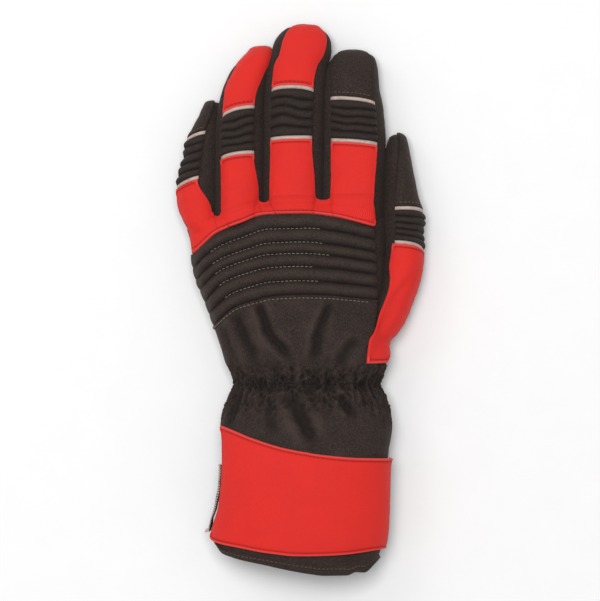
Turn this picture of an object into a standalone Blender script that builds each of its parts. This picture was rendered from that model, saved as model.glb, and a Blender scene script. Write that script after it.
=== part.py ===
"""Firefighter glove for the left hand, lying palm down with its back up.

The origin is under the middle of the palm, +X points to the thumb side, +Y to the
fingertips and +Z up. Every cross section lies in a plane of constant Y. The hand,
the fingers and the thumb are lofts of rounded sections, joined into one body,
hollowed by the same lofts inset by the wall, and then parted into the hand and five
stalls. Panels, ribs and pipings are sheets laid over that body.
"""
import math
from collections import namedtuple

import bmesh
import bpy
import numpy as np
from mathutils import Vector
from mathutils.bvhtree import BVHTree

# Main sizes in metres
HAND_LENGTH = 0.1090
HAND_WIDTH = 0.1300
HAND_THICKNESS = 0.0450
CUFF_LENGTH = 0.0970
CUFF_WIDTH = 0.1080
CUFF_THICKNESS = 0.0550
HEM_LENGTH = 0.0220

INDEX_LENGTH = 0.1120
INDEX_WIDTH = 0.0392
MIDDLE_LENGTH = 0.1283
MIDDLE_WIDTH = 0.0372
RING_LENGTH = 0.1155
RING_WIDTH = 0.0298
LITTLE_LENGTH = 0.0800
LITTLE_WIDTH = 0.0245
THUMB_LENGTH = 0.1386
THUMB_WIDTH = 0.0234
FINGER_THICKNESS = 0.0310
LITTLE_THICKNESS = 0.0270
THUMB_THICKNESS = 0.0310

WALL = 0.0020
PANEL_THICKNESS = 0.0012
GUARD_THICKNESS = 0.0016
RIB_HEIGHT = 0.0022
FLEX_RIB_HEIGHT = 0.0013
PIPING_WIDTH = 0.0028
PIPING_HEIGHT = 0.0017
HEM_WALL = 0.0026
ZIP_THICKNESS = 0.0016
TAB_LENGTH = 0.0056
TAB_THICKNESS = 0.0014
GATHER_DEPTH = 0.0011

# Clearances in metres
LAY_GAP = 0.0005
PART_GAP = 0.0003
SEAM_GAP = 0.0007

# How far the soft underside is pressed flat by lying down
PRESSED = 0.0030

# How deep a digit's form starts inside the hand, and how much smaller it is there
ROOT_TUCK = 0.0110
ROOT_TUCK_SCALE = 0.6

# Where the origin lies along the hand, as a share of its length from the wrist
ORIGIN_SHARE = 0.4835
WRIST_Y = -ORIGIN_SHARE * HAND_LENGTH
# The finger roots lie this share of the hand's length from the wrist
ROOT_SHARE = 0.930
ROOT_Y = WRIST_Y + ROOT_SHARE * HAND_LENGTH
THUMB_CUT_SHARE = 0.550
THUMB_CUT_Y = WRIST_Y + THUMB_CUT_SHARE * HAND_LENGTH

HAND_POWER = 2.5
DIGIT_POWER = 2.3
CUFF_POWER = 2.4
HAND_SIDES = 28
DIGIT_SIDES = 24
CUFF_SIDES = 36
HEM_SIDES = 28
INNER_SIDES = 10
GATHERS = 9
BLEND = 0.0030

BLACK = (0.034, 0.026, 0.023)
BLACK_STRETCH = (0.026, 0.021, 0.019)
RED = (0.76, 0.031, 0.026)
GREY = (0.48, 0.38, 0.33)

# Sections. Lengths along are shares of the piece's length, the edges left and right
# are shares of its width from the origin, and top is a share of its thickness.
Section = namedtuple("Section", "along left right top")
HAND = (
    Section(0.000, -0.325, 0.390, 0.91),
    Section(0.050, -0.326, 0.400, 0.92),
    Section(0.135, -0.355, 0.424, 0.96),
    Section(0.250, -0.383, 0.412, 0.99),
    Section(0.370, -0.422, 0.405, 1.00),
    Section(0.485, -0.458, 0.408, 1.00),
    Section(0.600, -0.498, 0.410, 0.99),
    Section(0.715, -0.519, 0.413, 0.96),
    Section(0.830, -0.531, 0.413, 0.92),
    Section(0.930, -0.560, 0.413, 0.85),
    Section(0.990, -0.575, 0.412, 0.76),
    Section(1.040, -0.580, 0.405, 0.66),
)
CUFF = (
    Section(0.000, -0.390, 0.468, 0.75),
    Section(0.080, -0.418, 0.493, 0.80),
    Section(0.160, -0.443, 0.520, 0.87),
    Section(0.260, -0.462, 0.534, 0.92),
    Section(0.380, -0.459, 0.520, 0.97),
    Section(0.550, -0.458, 0.500, 1.00),
    Section(0.780, -0.473, 0.495, 1.00),
    Section(1.000, -0.498, 0.482, 0.99),
)
# Hem: along is a share of HEM_LENGTH past the cuff's end
HEM = (
    Section(0.000, -0.498, 0.482, 0.99),
    Section(0.500, -0.498, 0.472, 0.97),
    Section(1.000, -0.486, 0.460, 0.94),
)
# How far the hem reaches, as a share of HEM_LENGTH, from its left edge to its right
HemEnd = namedtuple("HemEnd", "across reach")
HEM_END = (
    HemEnd(0.00, 0.14),
    HemEnd(0.05, 0.40),
    HemEnd(0.33, 0.72),
    HemEnd(0.50, 0.89),
    HemEnd(0.68, 1.00),
    HemEnd(0.81, 1.00),
    HemEnd(0.92, 0.93),
    HemEnd(1.00, 0.62),
)

# A digit's sections. along is a share of its length from its root, centre is its
# middle line's shift to the right as a share of its length, width and top are shares
# of its width and thickness.
Slice = namedtuple("Slice", "along centre width top")
INDEX = (
    Slice(0.000, 0.000, 1.00, 1.08),
    Slice(0.100, 0.003, 1.00, 1.09),
    Slice(0.200, 0.008, 1.00, 1.08),
    Slice(0.500, 0.017, 1.00, 1.01),
    Slice(0.684, 0.011, 0.96, 1.00),
    Slice(0.777, 0.003, 0.89, 0.99),
    Slice(0.893, 0.002, 0.84, 0.93),
    Slice(0.964, 0.009, 0.69, 0.78),
    Slice(0.990, 0.006, 0.50, 0.62),
    Slice(1.000, 0.005, 0.33, 0.50),
)
MIDDLE = (
    Slice(0.000, 0.000, 1.00, 1.18),
    Slice(0.090, 0.000, 1.00, 1.16),
    Slice(0.180, 0.000, 1.00, 1.11),
    Slice(0.450, 0.002, 1.00, 1.02),
    Slice(0.680, 0.009, 1.01, 1.01),
    Slice(0.790, 0.016, 1.00, 0.99),
    Slice(0.850, 0.039, 0.98, 0.96),
    Slice(0.906, 0.048, 0.96, 0.89),
    Slice(0.946, 0.053, 0.86, 0.80),
    Slice(0.985, 0.054, 0.59, 0.64),
    Slice(1.000, 0.058, 0.38, 0.50),
)
RING = (
    Slice(0.000, 0.000, 0.98, 1.18),
    Slice(0.095, 0.000, 0.98, 1.16),
    Slice(0.190, 0.002, 0.98, 1.12),
    Slice(0.510, 0.004, 0.97, 1.04),
    Slice(0.650, 0.009, 0.93, 1.03),
    Slice(0.753, 0.023, 0.86, 1.01),
    Slice(0.840, 0.052, 0.78, 0.95),
    Slice(0.925, 0.094, 0.66, 0.86),
    Slice(0.971, 0.118, 0.52, 0.72),
    Slice(1.000, 0.124, 0.36, 0.50),
)
LITTLE = (
    Slice(0.000, 0.004, 0.82, 1.22),
    Slice(0.120, -0.005, 0.94, 1.18),
    Slice(0.330, -0.010, 0.98, 1.09),
    Slice(0.510, 0.014, 0.88, 1.03),
    Slice(0.700, 0.038, 0.77, 0.99),
    Slice(0.886, 0.091, 0.52, 0.86),
    Slice(0.960, 0.112, 0.44, 0.72),
    Slice(1.000, 0.120, 0.28, 0.50),
)
THUMB = (
    Slice(0.000, 0.000, 1.02, 1.10),
    Slice(0.125, 0.043, 1.31, 1.12),
    Slice(0.235, 0.094, 1.30, 1.10),
    Slice(0.327, 0.141, 1.12, 1.06),
    Slice(0.440, 0.172, 0.98, 1.02),
    Slice(0.563, 0.172, 0.98, 1.00),
    Slice(0.682, 0.165, 0.90, 0.98),
    Slice(0.750, 0.159, 0.80, 0.95),
    Slice(0.855, 0.147, 0.67, 0.88),
    Slice(0.931, 0.142, 0.58, 0.80),
    Slice(0.973, 0.139, 0.50, 0.72),
    Slice(0.993, 0.139, 0.30, 0.60),
    Slice(1.000, 0.139, 0.15, 0.50),
)

# A digit's place and its panels. root_across is a share of HAND_WIDTH from the
# origin and root_along a share of HAND_LENGTH from the wrist. The panels' first and
# last column count round the section from the right edge over the top, and the
# pipings' ends on that side and on the other are shares of the digit's length.
Digit = namedtuple("Digit", "name length width thickness slices root_across root_along "
                   "first last lower_first lower_last upper_first upper_last bow tip_red")
DIGITS = (
    Digit("index", INDEX_LENGTH, INDEX_WIDTH, FINGER_THICKNESS, INDEX, 0.2520, 0.8965,
          3, 9, 0.471, 0.494, 0.706, 0.727, 0.014, False),
    Digit("middle", MIDDLE_LENGTH, MIDDLE_WIDTH, FINGER_THICKNESS, MIDDLE, -0.0375, 0.8965,
          3, 9, 0.435, 0.435, 0.680, 0.682, 0.016, True),
    Digit("ring", RING_LENGTH, RING_WIDTH, FINGER_THICKNESS, RING, -0.2975, 0.8872,
          4, 10, 0.417, 0.391, 0.672, 0.623, 0.016, True),
    Digit("little", LITTLE_LENGTH, LITTLE_WIDTH, LITTLE_THICKNESS, LITTLE, -0.4945, 0.8965,
          5, 12, 0.392, 0.312, 0.746, 0.691, 0.006, False),
    Digit("thumb", THUMB_LENGTH, THUMB_WIDTH, THUMB_THICKNESS, THUMB, 0.3230, 0.1717,
          0, 8, 0.470, 0.523, 0.648, 0.674, 0.000, False),
)

# The valleys between the fingers follow the middle between their sides, at these
# shares of the shorter finger's length from its root
VALLEY_STATIONS = (0.0, 0.30, 0.52, 0.70, 0.82, 0.92, 1.0)
# The valley between the index finger and the thumb: across is a share of HAND_WIDTH
# from the origin, ahead a share of INDEX_LENGTH past the fingers' roots
Valley = namedtuple("Valley", "across ahead")
THUMB_VALLEY = (
    Valley(0.4155, -0.46), Valley(0.4160, 0.23), Valley(0.4195, 0.46), Valley(0.4200, 1.26),
)

# Points of the seams on the back, as shares of HAND_WIDTH across from the origin and
# of HAND_LENGTH along from the wrist
Point = namedtuple("Point", "across along")
GUARD_TOP = (
    Point(-0.523, 0.754), Point(-0.500, 0.758), Point(-0.405, 0.866), Point(-0.264, 0.936),
    Point(-0.167, 0.976), Point(0.015, 0.982), Point(0.153, 0.965), Point(0.366, 0.906),
)
GUARD_END = (
    Point(-0.411, 0.340), Point(-0.390, 0.365), Point(-0.310, 0.452), Point(-0.216, 0.490),
    Point(-0.124, 0.513), Point(0.015, 0.520), Point(0.107, 0.518), Point(0.366, 0.490),
)
BACK_END = (
    Point(-0.320, 0.028), Point(-0.300, 0.024), Point(-0.230, 0.022), Point(-0.150, 0.022),
    Point(-0.070, 0.022), Point(0.050, 0.022), Point(0.170, 0.022), Point(0.285, 0.030),
)
# The hand's front edge between the fingers, where the crotches lie
FRONT = (
    Point(-0.640, 0.950), Point(-0.414, 0.962), Point(-0.182, 1.030), Point(0.700, 1.032),
)
GUARD_RIBS = 6

# Folds of the back panel and of the gathered cuff, from one end to the other, in
# shares of HAND_WIDTH and HAND_LENGTH as above, with the depth in shares of PUFF
Fold = namedtuple("Fold", "from_across from_along to_across to_along depth")
PUFF = 0.0024
FOLD_WIDTH = 0.0042
BACK_FOLDS = (
    Fold(-0.284, 0.420, -0.206, 0.130, 0.8),
    Fold(-0.199, 0.455, -0.080, 0.190, 1.0),
    Fold(0.133, 0.472, 0.061, 0.150, 0.8),
)
CUFF_FOLDS = (
    Fold(-0.041, -0.050, 0.090, -0.330, 1.0),
    Fold(0.172, -0.055, 0.245, -0.175, 0.8),
    Fold(-0.300, -0.060, -0.345, -0.260, 0.7),
)

# The red thumb panel's inner edge: along is a share of THUMB_LENGTH and turn the
# edge's turn round the section, in degrees from its right edge
Edge = namedtuple("Edge", "along turn")
THUMB_PANEL = (
    Edge(0.000, 88), Edge(0.125, 92), Edge(0.235, 98), Edge(0.327, 116), Edge(0.440, 132),
    Edge(0.520, 120),
)
# The turn in degrees of the cuff flap's left edge, at shares of CUFF_LENGTH
FLAP_LEFT = (
    Edge(0.262, 178), Edge(0.400, 165), Edge(0.600, 161), Edge(0.800, 163), Edge(0.930, 172),
    Edge(1.000, 176),
)
FLAP_RIGHT_TURN = -6.0
# The cuff flap's edges, as shares of CUFF_LENGTH from the wrist, from its left end
FlapEdge = namedtuple("FlapEdge", "across top bottom")
FLAP = (
    FlapEdge(0.00, 0.262, 0.975),
    FlapEdge(0.04, 0.275, 1.020),
    FlapEdge(0.18, 0.330, 1.055),
    FlapEdge(0.38, 0.400, 1.098),
    FlapEdge(0.60, 0.446, 1.107),
    FlapEdge(0.80, 0.476, 1.094),
    FlapEdge(1.00, 0.487, 1.055),
)


def table(rows, column):
    """One named column of a table as an array."""
    return np.array([getattr(row, column) for row in rows], dtype=float)


def superellipse(turn, power):
    """A rounded unit section at the given turns: right edge at 0, top at a quarter."""
    across = np.sign(np.cos(turn)) * np.abs(np.cos(turn)) ** (2.0 / power)
    up = np.sign(np.sin(turn)) * np.abs(np.sin(turn)) ** (2.0 / power)
    return across, up


def digit_root(digit):
    """The middle of a digit's root in the plan."""
    return digit.root_across * HAND_WIDTH, WRIST_Y + digit.root_along * HAND_LENGTH


def digit_section(digit, y):
    """Middle, half width and top of a digit at Y, read from its table."""
    root_x, root_y = digit_root(digit)
    along = (np.asarray(y, dtype=float) - root_y) / digit.length
    stations = table(digit.slices, "along")
    centre = root_x + digit.length * np.interp(along, stations, table(digit.slices, "centre"))
    half = 0.5 * digit.width * np.interp(along, stations, table(digit.slices, "width"))
    top = digit.thickness * np.interp(along, stations, table(digit.slices, "top"))
    return centre, half, top


def hand_section(y):
    """Middle, half width and top of the hand at Y, read from its table."""
    along = (np.asarray(y, dtype=float) - WRIST_Y) / HAND_LENGTH
    stations = table(HAND, "along")
    left = HAND_WIDTH * np.interp(along, stations, table(HAND, "left"))
    right = HAND_WIDTH * np.interp(along, stations, table(HAND, "right"))
    top = HAND_THICKNESS * np.interp(along, stations, table(HAND, "top"))
    return 0.5 * (left + right), 0.5 * (right - left), top


def cuff_section(y):
    """Middle, half width and top of the cuff and its hem at Y."""
    along = (WRIST_Y - np.asarray(y, dtype=float)) / CUFF_LENGTH
    stations = table(CUFF, "along")
    hem = 1.0 + table(HEM, "along")[1:] * HEM_LENGTH / CUFF_LENGTH
    stations = np.concatenate([stations, hem])
    columns = [np.concatenate([table(CUFF, name), table(HEM, name)[1:]])
               for name in ("left", "right", "top")]
    left, right, top = (np.interp(along, stations, column) for column in columns)
    return (0.5 * CUFF_WIDTH * (left + right), 0.5 * CUFF_WIDTH * (right - left),
            CUFF_THICKNESS * top)


def ring_points(y, section, turns, power, inset=0.0):
    """A ring of points round a section at Y, pulled in by an inset."""
    centre, half, top = section
    across, up = superellipse(turns, power)
    middle = 0.5 * (top - PRESSED)
    lift = 0.5 * (top + PRESSED)
    x = centre + (half - inset) * across
    z = middle + (lift - inset) * up
    return np.stack([x, np.full_like(x, y), z], axis=-1)


def height_on(x, y, section, power):
    """Height of a loft's upper side at X, with points past its edges on the edge."""
    centre, half, top = section
    share = np.clip(np.abs(x - centre) / half, 0.0, 1.0)
    rise = (1.0 - share ** power) ** (1.0 / power)
    return 0.5 * (top - PRESSED) + 0.5 * (top + PRESSED) * rise


def back_height(x, y):
    """Height of the glove's back: the hand's and the fingers', softly blended."""
    hand_end = WRIST_Y + HAND[-1].along * HAND_LENGTH
    heights = [np.where(y < hand_end, height_on(x, y, hand_section(y), HAND_POWER), 0.0)]
    for digit in DIGITS[:4]:
        section = digit_section(digit, y)
        inside = (np.abs(x - section[0]) < section[1]) & (y > digit_root(digit)[1])
        heights.append(np.where(inside, height_on(x, y, section, DIGIT_POWER), 0.0))
    stacked = np.stack(heights)
    return BLEND * np.log(np.sum(np.exp(stacked / BLEND), axis=0))


def new_object(name, mesh, material=None):
    """Link a new object that holds the mesh."""
    piece = bpy.data.objects.new(name, mesh)
    bpy.context.scene.collection.objects.link(piece)
    if material is not None:
        mesh.materials.clear()
        mesh.materials.append(material)
    return piece


def mesh_from(name, points, faces):
    """A mesh with its faces turned outwards."""
    mesh = bpy.data.meshes.new(name)
    mesh.from_pydata([tuple(point) for point in points], [], faces)
    work = bmesh.new()
    work.from_mesh(mesh)
    bmesh.ops.recalc_face_normals(work, faces=work.faces)
    work.to_mesh(mesh)
    work.free()
    return mesh


def closed_loft(name, rings):
    """A solid through rings of equal counts, capped at both ends."""
    sides = len(rings[0])
    faces = [tuple(range(sides))]
    for ring in range(len(rings) - 1):
        for side in range(sides):
            after = (side + 1) % sides
            faces.append((ring * sides + side, ring * sides + after,
                          (ring + 1) * sides + after, (ring + 1) * sides + side))
    faces.append(tuple((len(rings) - 1) * sides + side for side in range(sides)))
    return new_object(name, triangulated(mesh_from(name, np.concatenate(rings), faces)))


def ring_wall(outer, inner):
    """Points and faces of a tube wall between two sets of rings, open at both ends.

    Both sets start and end at the same places, and each has its own count of rings.
    """
    sides = len(outer[0])
    path = list(outer) + list(inner)[::-1]
    count = len(path)
    faces = []
    for ring in range(count):
        follow = (ring + 1) % count
        for side in range(sides):
            after = (side + 1) % sides
            faces.append((ring * sides + side, ring * sides + after,
                          follow * sides + after, follow * sides + side))
    return np.concatenate(path), faces


def prism(name, outline):
    """A tall upright solid over a plan outline, used only as a cutter."""
    low, high = -0.5 * HAND_THICKNESS, 2.0 * HAND_THICKNESS + CUFF_THICKNESS
    count = len(outline)
    points = [(x, y, low) for x, y in outline] + [(x, y, high) for x, y in outline]
    faces = [tuple(range(count)), tuple(range(count, 2 * count))]
    faces += [(i, (i + 1) % count, count + (i + 1) % count, count + i) for i in range(count)]
    return new_object(name, mesh_from(name, points, faces))


def under_block(name, level):
    """A cutter for everything below a level."""
    reach = HAND_LENGTH + CUFF_LENGTH + MIDDLE_LENGTH
    outline = [(-reach, -reach), (reach, -reach), (reach, reach), (-reach, reach)]
    points = [(x, y, -HAND_THICKNESS) for x, y in outline] + [(x, y, level) for x, y in outline]
    faces = [(0, 1, 2, 3), (4, 5, 6, 7)]
    faces += [(i, (i + 1) % 4, 4 + (i + 1) % 4, 4 + i) for i in range(4)]
    return new_object(name, mesh_from(name, points, faces))


def triangulated(mesh):
    """The mesh with flat faces only, so that each cut meets true planes."""
    work = bmesh.new()
    work.from_mesh(mesh)
    bmesh.ops.triangulate(work, faces=work.faces)
    work.to_mesh(mesh)
    work.free()
    return mesh


def combine(name, base, operation, others):
    """Join, cut or intersect an object with others, one by one, into a new object."""
    work = new_object(name + "_work", triangulated(base.data.copy()))
    for other in others:
        cut = work.modifiers.new(other.name, "BOOLEAN")
        cut.operation = operation
        cut.solver = "EXACT"
        cut.object = other
        graph = bpy.context.evaluated_depsgraph_get()
        mesh = bpy.data.meshes.new_from_object(work.evaluated_get(graph))
        work.modifiers.clear()
        work.data = triangulated(mesh)
    result = new_object(name, work.data)
    bpy.data.objects.remove(work)
    return result


def discard(pieces):
    """Remove helper objects."""
    for piece in pieces:
        bpy.data.objects.remove(piece)


def smaller_bodies(work):
    """The points of a mesh that aren't in its body with the most points."""
    bodies = []
    seen = set()
    for start in work.verts:
        if start in seen:
            continue
        body = [start]
        seen.add(start)
        for point in body:
            for edge in point.link_edges:
                other = edge.other_vert(point)
                if other not in seen:
                    seen.add(other)
                    body.append(other)
        bodies.append(body)
    bodies.sort(key=len)
    return [point for body in bodies[:-1] for point in body]


def tidy_mesh(piece):
    """Keep an object's largest body and turn its faces into triangles."""
    work = bmesh.new()
    work.from_mesh(piece.data)
    bmesh.ops.delete(work, geom=smaller_bodies(work), context="VERTS")
    bmesh.ops.triangulate(work, faces=work.faces)
    bmesh.ops.recalc_face_normals(work, faces=work.faces)
    work.to_mesh(piece.data)
    work.free()


def surface_tree(*pieces):
    """A search tree over the meshes of one or more objects."""
    work = bmesh.new()
    for piece in pieces:
        work.from_mesh(piece.data)
    bmesh.ops.recalc_face_normals(work, faces=work.faces)
    tree = BVHTree.FromBMesh(work)
    work.free()
    return tree


def grid_normals(points):
    """Unit normals of a grid of points, upwards for a grid laid left to right."""
    along = np.gradient(points, axis=0)
    across = np.gradient(points, axis=1)
    normals = np.cross(across, along)
    return normals / np.maximum(np.linalg.norm(normals, axis=2, keepdims=True), 1e-12)


def clear_of(points, tree, clearance):
    """Push a grid of points out until its faces clear a surface.

    Each quad is measured at a small grid of spots on it, and the largest shortfall
    moves its corners along the surface's own normal there.
    """
    points = points.copy()
    rows, columns = points.shape[:2]
    steps = np.linspace(0.0, 1.0, 5)
    for _ in range(8):
        push = np.zeros(points.shape)
        for row in range(rows - 1):
            for column in range(columns - 1):
                corners = [(row, column), (row, column + 1), (row + 1, column), (row + 1, column + 1)]
                a, b, c, d = (points[corner] for corner in corners)
                for u in steps:
                    for v in steps:
                        spot = Vector((a * (1 - u) + b * u) * (1 - v) + (c * (1 - u) + d * u) * v)
                        near, normal, _, _ = tree.find_nearest(spot)
                        short = clearance - (spot - near).dot(normal)
                        if short <= 0.0:
                            continue
                        for corner in corners:
                            if np.linalg.norm(push[corner]) < short:
                                push[corner] = np.array(normal) * short
        if not push.any():
            break
        points += push
    return points


def slab(name, lower, upper, material, keep=None):
    """A sheet between two grids of points, closed round its edges.

    keep says which of the grid's quads the sheet has.
    """
    rows, columns = lower.shape[:2]
    if keep is None:
        keep = np.ones((rows - 1, columns - 1), dtype=bool)
    count = rows * columns

    def index(row, column):
        return row * columns + column

    faces = []
    for row in range(rows - 1):
        for column in range(columns - 1):
            if not keep[row, column]:
                continue
            quad = [index(row, column), index(row, column + 1),
                    index(row + 1, column + 1), index(row + 1, column)]
            faces.append(tuple(i + count for i in quad))
            faces.append(tuple(reversed(quad)))
            beside = ((row - 1, column), (row, column + 1), (row + 1, column), (row, column - 1))
            for side, (r, c) in enumerate(beside):
                inside = 0 <= r < rows - 1 and 0 <= c < columns - 1 and keep[r, c]
                if not inside:
                    a, b = quad[side], quad[(side + 1) % 4]
                    faces.append((a, b, b + count, a + count))
    points = np.concatenate([lower.reshape(-1, 3), upper.reshape(-1, 3)])
    used = sorted({i for face in faces for i in face})
    place = {old: new for new, old in enumerate(used)}
    mesh = mesh_from(name, points[used], [tuple(place[i] for i in face) for face in faces])
    piece = new_object(name, mesh, material)
    mesh.shade_smooth()
    mesh.set_sharp_from_angle(angle=math.radians(40))
    return piece


def lay_sheet(name, points, tree, material, thickness, keep=None, raised=0.0):
    """Lay a sheet of the given thickness on a surface, raised where it is puffed up."""
    flat = clear_of(points, tree, LAY_GAP)
    normals = grid_normals(flat)
    raised = np.broadcast_to(np.asarray(raised, dtype=float), flat.shape[:2])[..., None]
    lower = flat + normals * raised
    thick = np.broadcast_to(np.asarray(thickness, dtype=float), flat.shape[:2])[..., None]
    return slab(name, lower, lower + normals * thick, material, keep)


def cloth(name, colour, roughness):
    """A plain fabric material."""
    material = bpy.data.materials.new(name)
    material.use_nodes = True
    shader = material.node_tree.nodes["Principled BSDF"]
    shader.inputs["Base Color"].default_value = (*colour, 1.0)
    shader.inputs["Roughness"].default_value = roughness
    shader.inputs["Metallic"].default_value = 0.0
    material.diffuse_color = (*colour, 1.0)
    return material


def tucked_root(digit, inset, turns):
    """The ring that starts a digit inside the hand, smaller than the root's."""
    root_y = digit_root(digit)[1]
    ring = ring_points(root_y, digit_section(digit, root_y), turns, DIGIT_POWER, inset)
    middle = ring.mean(axis=0)
    ring = middle + ROOT_TUCK_SCALE * (ring - middle)
    ring[:, 1] = root_y - ROOT_TUCK
    return ring


def digit_loft(digit, inset, sides, name):
    """The solid of a digit, or of its hollow when it is inset."""
    turns = np.linspace(0.0, 2.0 * math.pi, sides, endpoint=False)
    root_y = digit_root(digit)[1]
    rings = [tucked_root(digit, inset, turns)]
    for row in digit.slices[::2] if inset else digit.slices:
        y = root_y + row.along * digit.length
        section = digit_section(digit, y)
        if inset and (section[1] < 2.0 * inset or row.along > 0.95):
            break
        rings.append(ring_points(y, section, turns, DIGIT_POWER, inset))
    if inset:
        y = root_y + digit.length - 2.0 * inset
        section = digit_section(digit, y)
        if section[1] > 1.6 * inset and y > rings[-1][0][1] + inset:
            rings.append(ring_points(y, section, turns, DIGIT_POWER, 1.3 * inset))
    return closed_loft(name, rings)


def hand_loft(inset, sides, name):
    """The solid of the hand, or of its hollow, which runs out past the wrist."""
    turns = np.linspace(0.0, 2.0 * math.pi, sides, endpoint=False)
    rings = []
    for row in HAND:
        y = WRIST_Y + row.along * HAND_LENGTH
        rings.append(ring_points(y, hand_section(y), turns, HAND_POWER, inset))
    if inset:
        rings[0][:, 1] -= 4.0 * inset
    form = closed_loft(name + "_long", rings)
    front = [(point.across * HAND_WIDTH,
              WRIST_Y + point.along * HAND_LENGTH - 1.5 * inset) for point in FRONT]
    reach = 2.0 * HAND_LENGTH
    ahead = prism(name + "_front", front + [(front[-1][0], reach), (front[0][0], reach)])
    clipped = combine(name, form, "DIFFERENCE", [ahead])
    discard([form, ahead])
    return clipped


def valley_line(number, side):
    """A valley's plan points, half the parting gap to one side.

    The valleys count from the little finger's side. Past the shorter finger's tip a
    valley runs straight on.
    """
    gap = side * 0.5 * PART_GAP
    if number == len(DIGITS) - 2:
        return [(point.across * HAND_WIDTH + gap, ROOT_Y + point.ahead * INDEX_LENGTH)
                for point in THUMB_VALLEY]
    left, right = DIGITS[3 - number], DIGITS[2 - number]
    shorter = min(left, right, key=lambda digit: digit_root(digit)[1] + digit.length)
    points = []
    for station in VALLEY_STATIONS:
        y = digit_root(shorter)[1] + station * shorter.length
        left_centre, left_half, _ = digit_section(left, y)
        right_centre, right_half, _ = digit_section(right, y)
        x = 0.5 * (left_centre + left_half + right_centre - right_half)
        points.append((float(x) + gap, y))
    start = (points[0][0], WRIST_Y)
    end = (points[-1][0], ROOT_Y + 1.1 * MIDDLE_LENGTH)
    return [start] + points + [end]


def finger_region(number, cut_y):
    """Plan outline of the number-th finger's stall, counted from the little finger."""
    reach = HAND_WIDTH
    left = valley_line(number - 1, 1) if number else [(-reach, 0.0), (-reach, 2 * reach)]
    right = valley_line(number, -1)
    end = 1.2 * MIDDLE_LENGTH + ROOT_Y
    start_left = np.interp(cut_y, [y for _, y in left], [x for x, _ in left])
    start_right = np.interp(cut_y, [y for _, y in right], [x for x, _ in right])
    left = [(x, y) for x, y in left if y > cut_y]
    right = [(x, y) for x, y in right if y > cut_y]
    outline = [(start_left, cut_y), (start_right, cut_y)] + right
    outline += [(right[-1][0], end), (left[-1][0], end)] + left[::-1]
    return dedupe(outline)


def thumb_region(cut_y):
    """Plan outline of the thumb's stall."""
    left = [(x, y) for x, y in valley_line(3, 1) if y > cut_y]
    reach = 2.0 * HAND_WIDTH
    return dedupe([(left[0][0], cut_y), (reach, cut_y), (reach, left[-1][1])] + left[::-1])


def dedupe(outline):
    """An outline without points that repeat the one before."""
    kept = []
    for point in outline:
        if not kept or math.dist(point, kept[-1]) > 1e-6:
            kept.append(point)
    return kept


def glove_shell():
    """The outer body, flat below, and the same body hollowed."""
    outer = [hand_loft(0.0, HAND_SIDES, "hand_form")]
    outer += [digit_loft(digit, 0.0, DIGIT_SIDES, digit.name + "_form") for digit in DIGITS]
    inner = [hand_loft(WALL, INNER_SIDES + 6, "hand_hollow")]
    inner += [digit_loft(digit, WALL, INNER_SIDES, digit.name + "_hollow") for digit in DIGITS]
    ground = under_block("ground", 0.0)
    floor = under_block("floor", WALL)
    joined = combine("joined", outer[0], "UNION", outer[1:])
    body = combine("body_form", joined, "DIFFERENCE", [ground])
    hollow_joined = combine("hollow_joined", inner[0], "UNION", inner[1:])
    hollow = combine("hollow", hollow_joined, "DIFFERENCE", [floor])
    shell = combine("shell", body, "DIFFERENCE", [hollow])
    discard(outer + inner + [ground, floor, joined, hollow_joined, hollow])
    return body, shell


def part_shell(shell, black):
    """Part the shell into the hand's body and five stalls."""
    stalls = []
    regions = []
    names = ("little", "ring", "middle", "index")
    for number, name in enumerate(names):
        keep = prism(name + "_region", finger_region(number, ROOT_Y + 0.5 * PART_GAP))
        stalls.append((name, keep))
    stalls.append(("thumb", prism("thumb_region", thumb_region(THUMB_CUT_Y + 0.5 * PART_GAP))))
    for name, keep in stalls:
        stall = combine(name + "_stall", shell, "INTERSECT", [keep])
        stall.data.materials.clear()
        stall.data.materials.append(black)
        tidy_mesh(stall)
        regions.append(keep)
    reach = 2.0 * HAND_WIDTH
    low = ROOT_Y - 0.5 * PART_GAP
    fingers = prism("fingers_region", [(-reach, low), (reach, low), (reach, low + 2 * reach),
                                       (-reach, low + 2 * reach)])
    edge = THUMB_VALLEY[0].across * HAND_WIDTH - 0.5 * PART_GAP
    start = THUMB_CUT_Y - 0.5 * PART_GAP
    beside = prism("thumb_side", [(edge, start), (reach, start), (reach, 2 * reach), (edge, 2 * reach)])
    body = combine("hand_body", shell, "DIFFERENCE", [fingers, beside])
    body.data.materials.clear()
    body.data.materials.append(black)
    tidy_mesh(body)
    discard(regions + [fingers, beside])


def piping_line(digit, first, last, turns):
    """Y of a piping at each column, between its two ends and bowed towards the tip."""
    share = np.linspace(0.0, 1.0, len(turns))
    along = first + (last - first) * share + digit.bow * (1.0 - (2.0 * share - 1.0) ** 2)
    return digit_root(digit)[1] + digit.length * along


def digit_points(digit, y, turns):
    """Points on a digit's surface, from arrays of Y and of turns of one shape."""
    centre, half, top = digit_section(digit, y)
    across, up = superellipse(turns, DIGIT_POWER)
    return np.stack([centre + half * across, y,
                     0.5 * (top - PRESSED) + 0.5 * (top + PRESSED) * up], axis=-1)


def column_turns(digit):
    """Turns of the panel's columns, from its left edge to its right."""
    columns = np.arange(digit.last, digit.first - 1, -1)
    return columns * 2.0 * math.pi / DIGIT_SIDES


def finger_lines(digit):
    """Y at each column of the edges of the pipings, from the hand to the tip."""
    turns = column_turns(digit)
    lower = piping_line(digit, digit.lower_last, digit.lower_first, turns)
    upper = piping_line(digit, digit.upper_last, digit.upper_first, turns)
    return turns, lower, upper


def between(first, last, shares):
    """Rows between two lines of values, one for each share."""
    return first[None, :] + (last - first)[None, :] * np.asarray(shares)[:, None]


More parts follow.
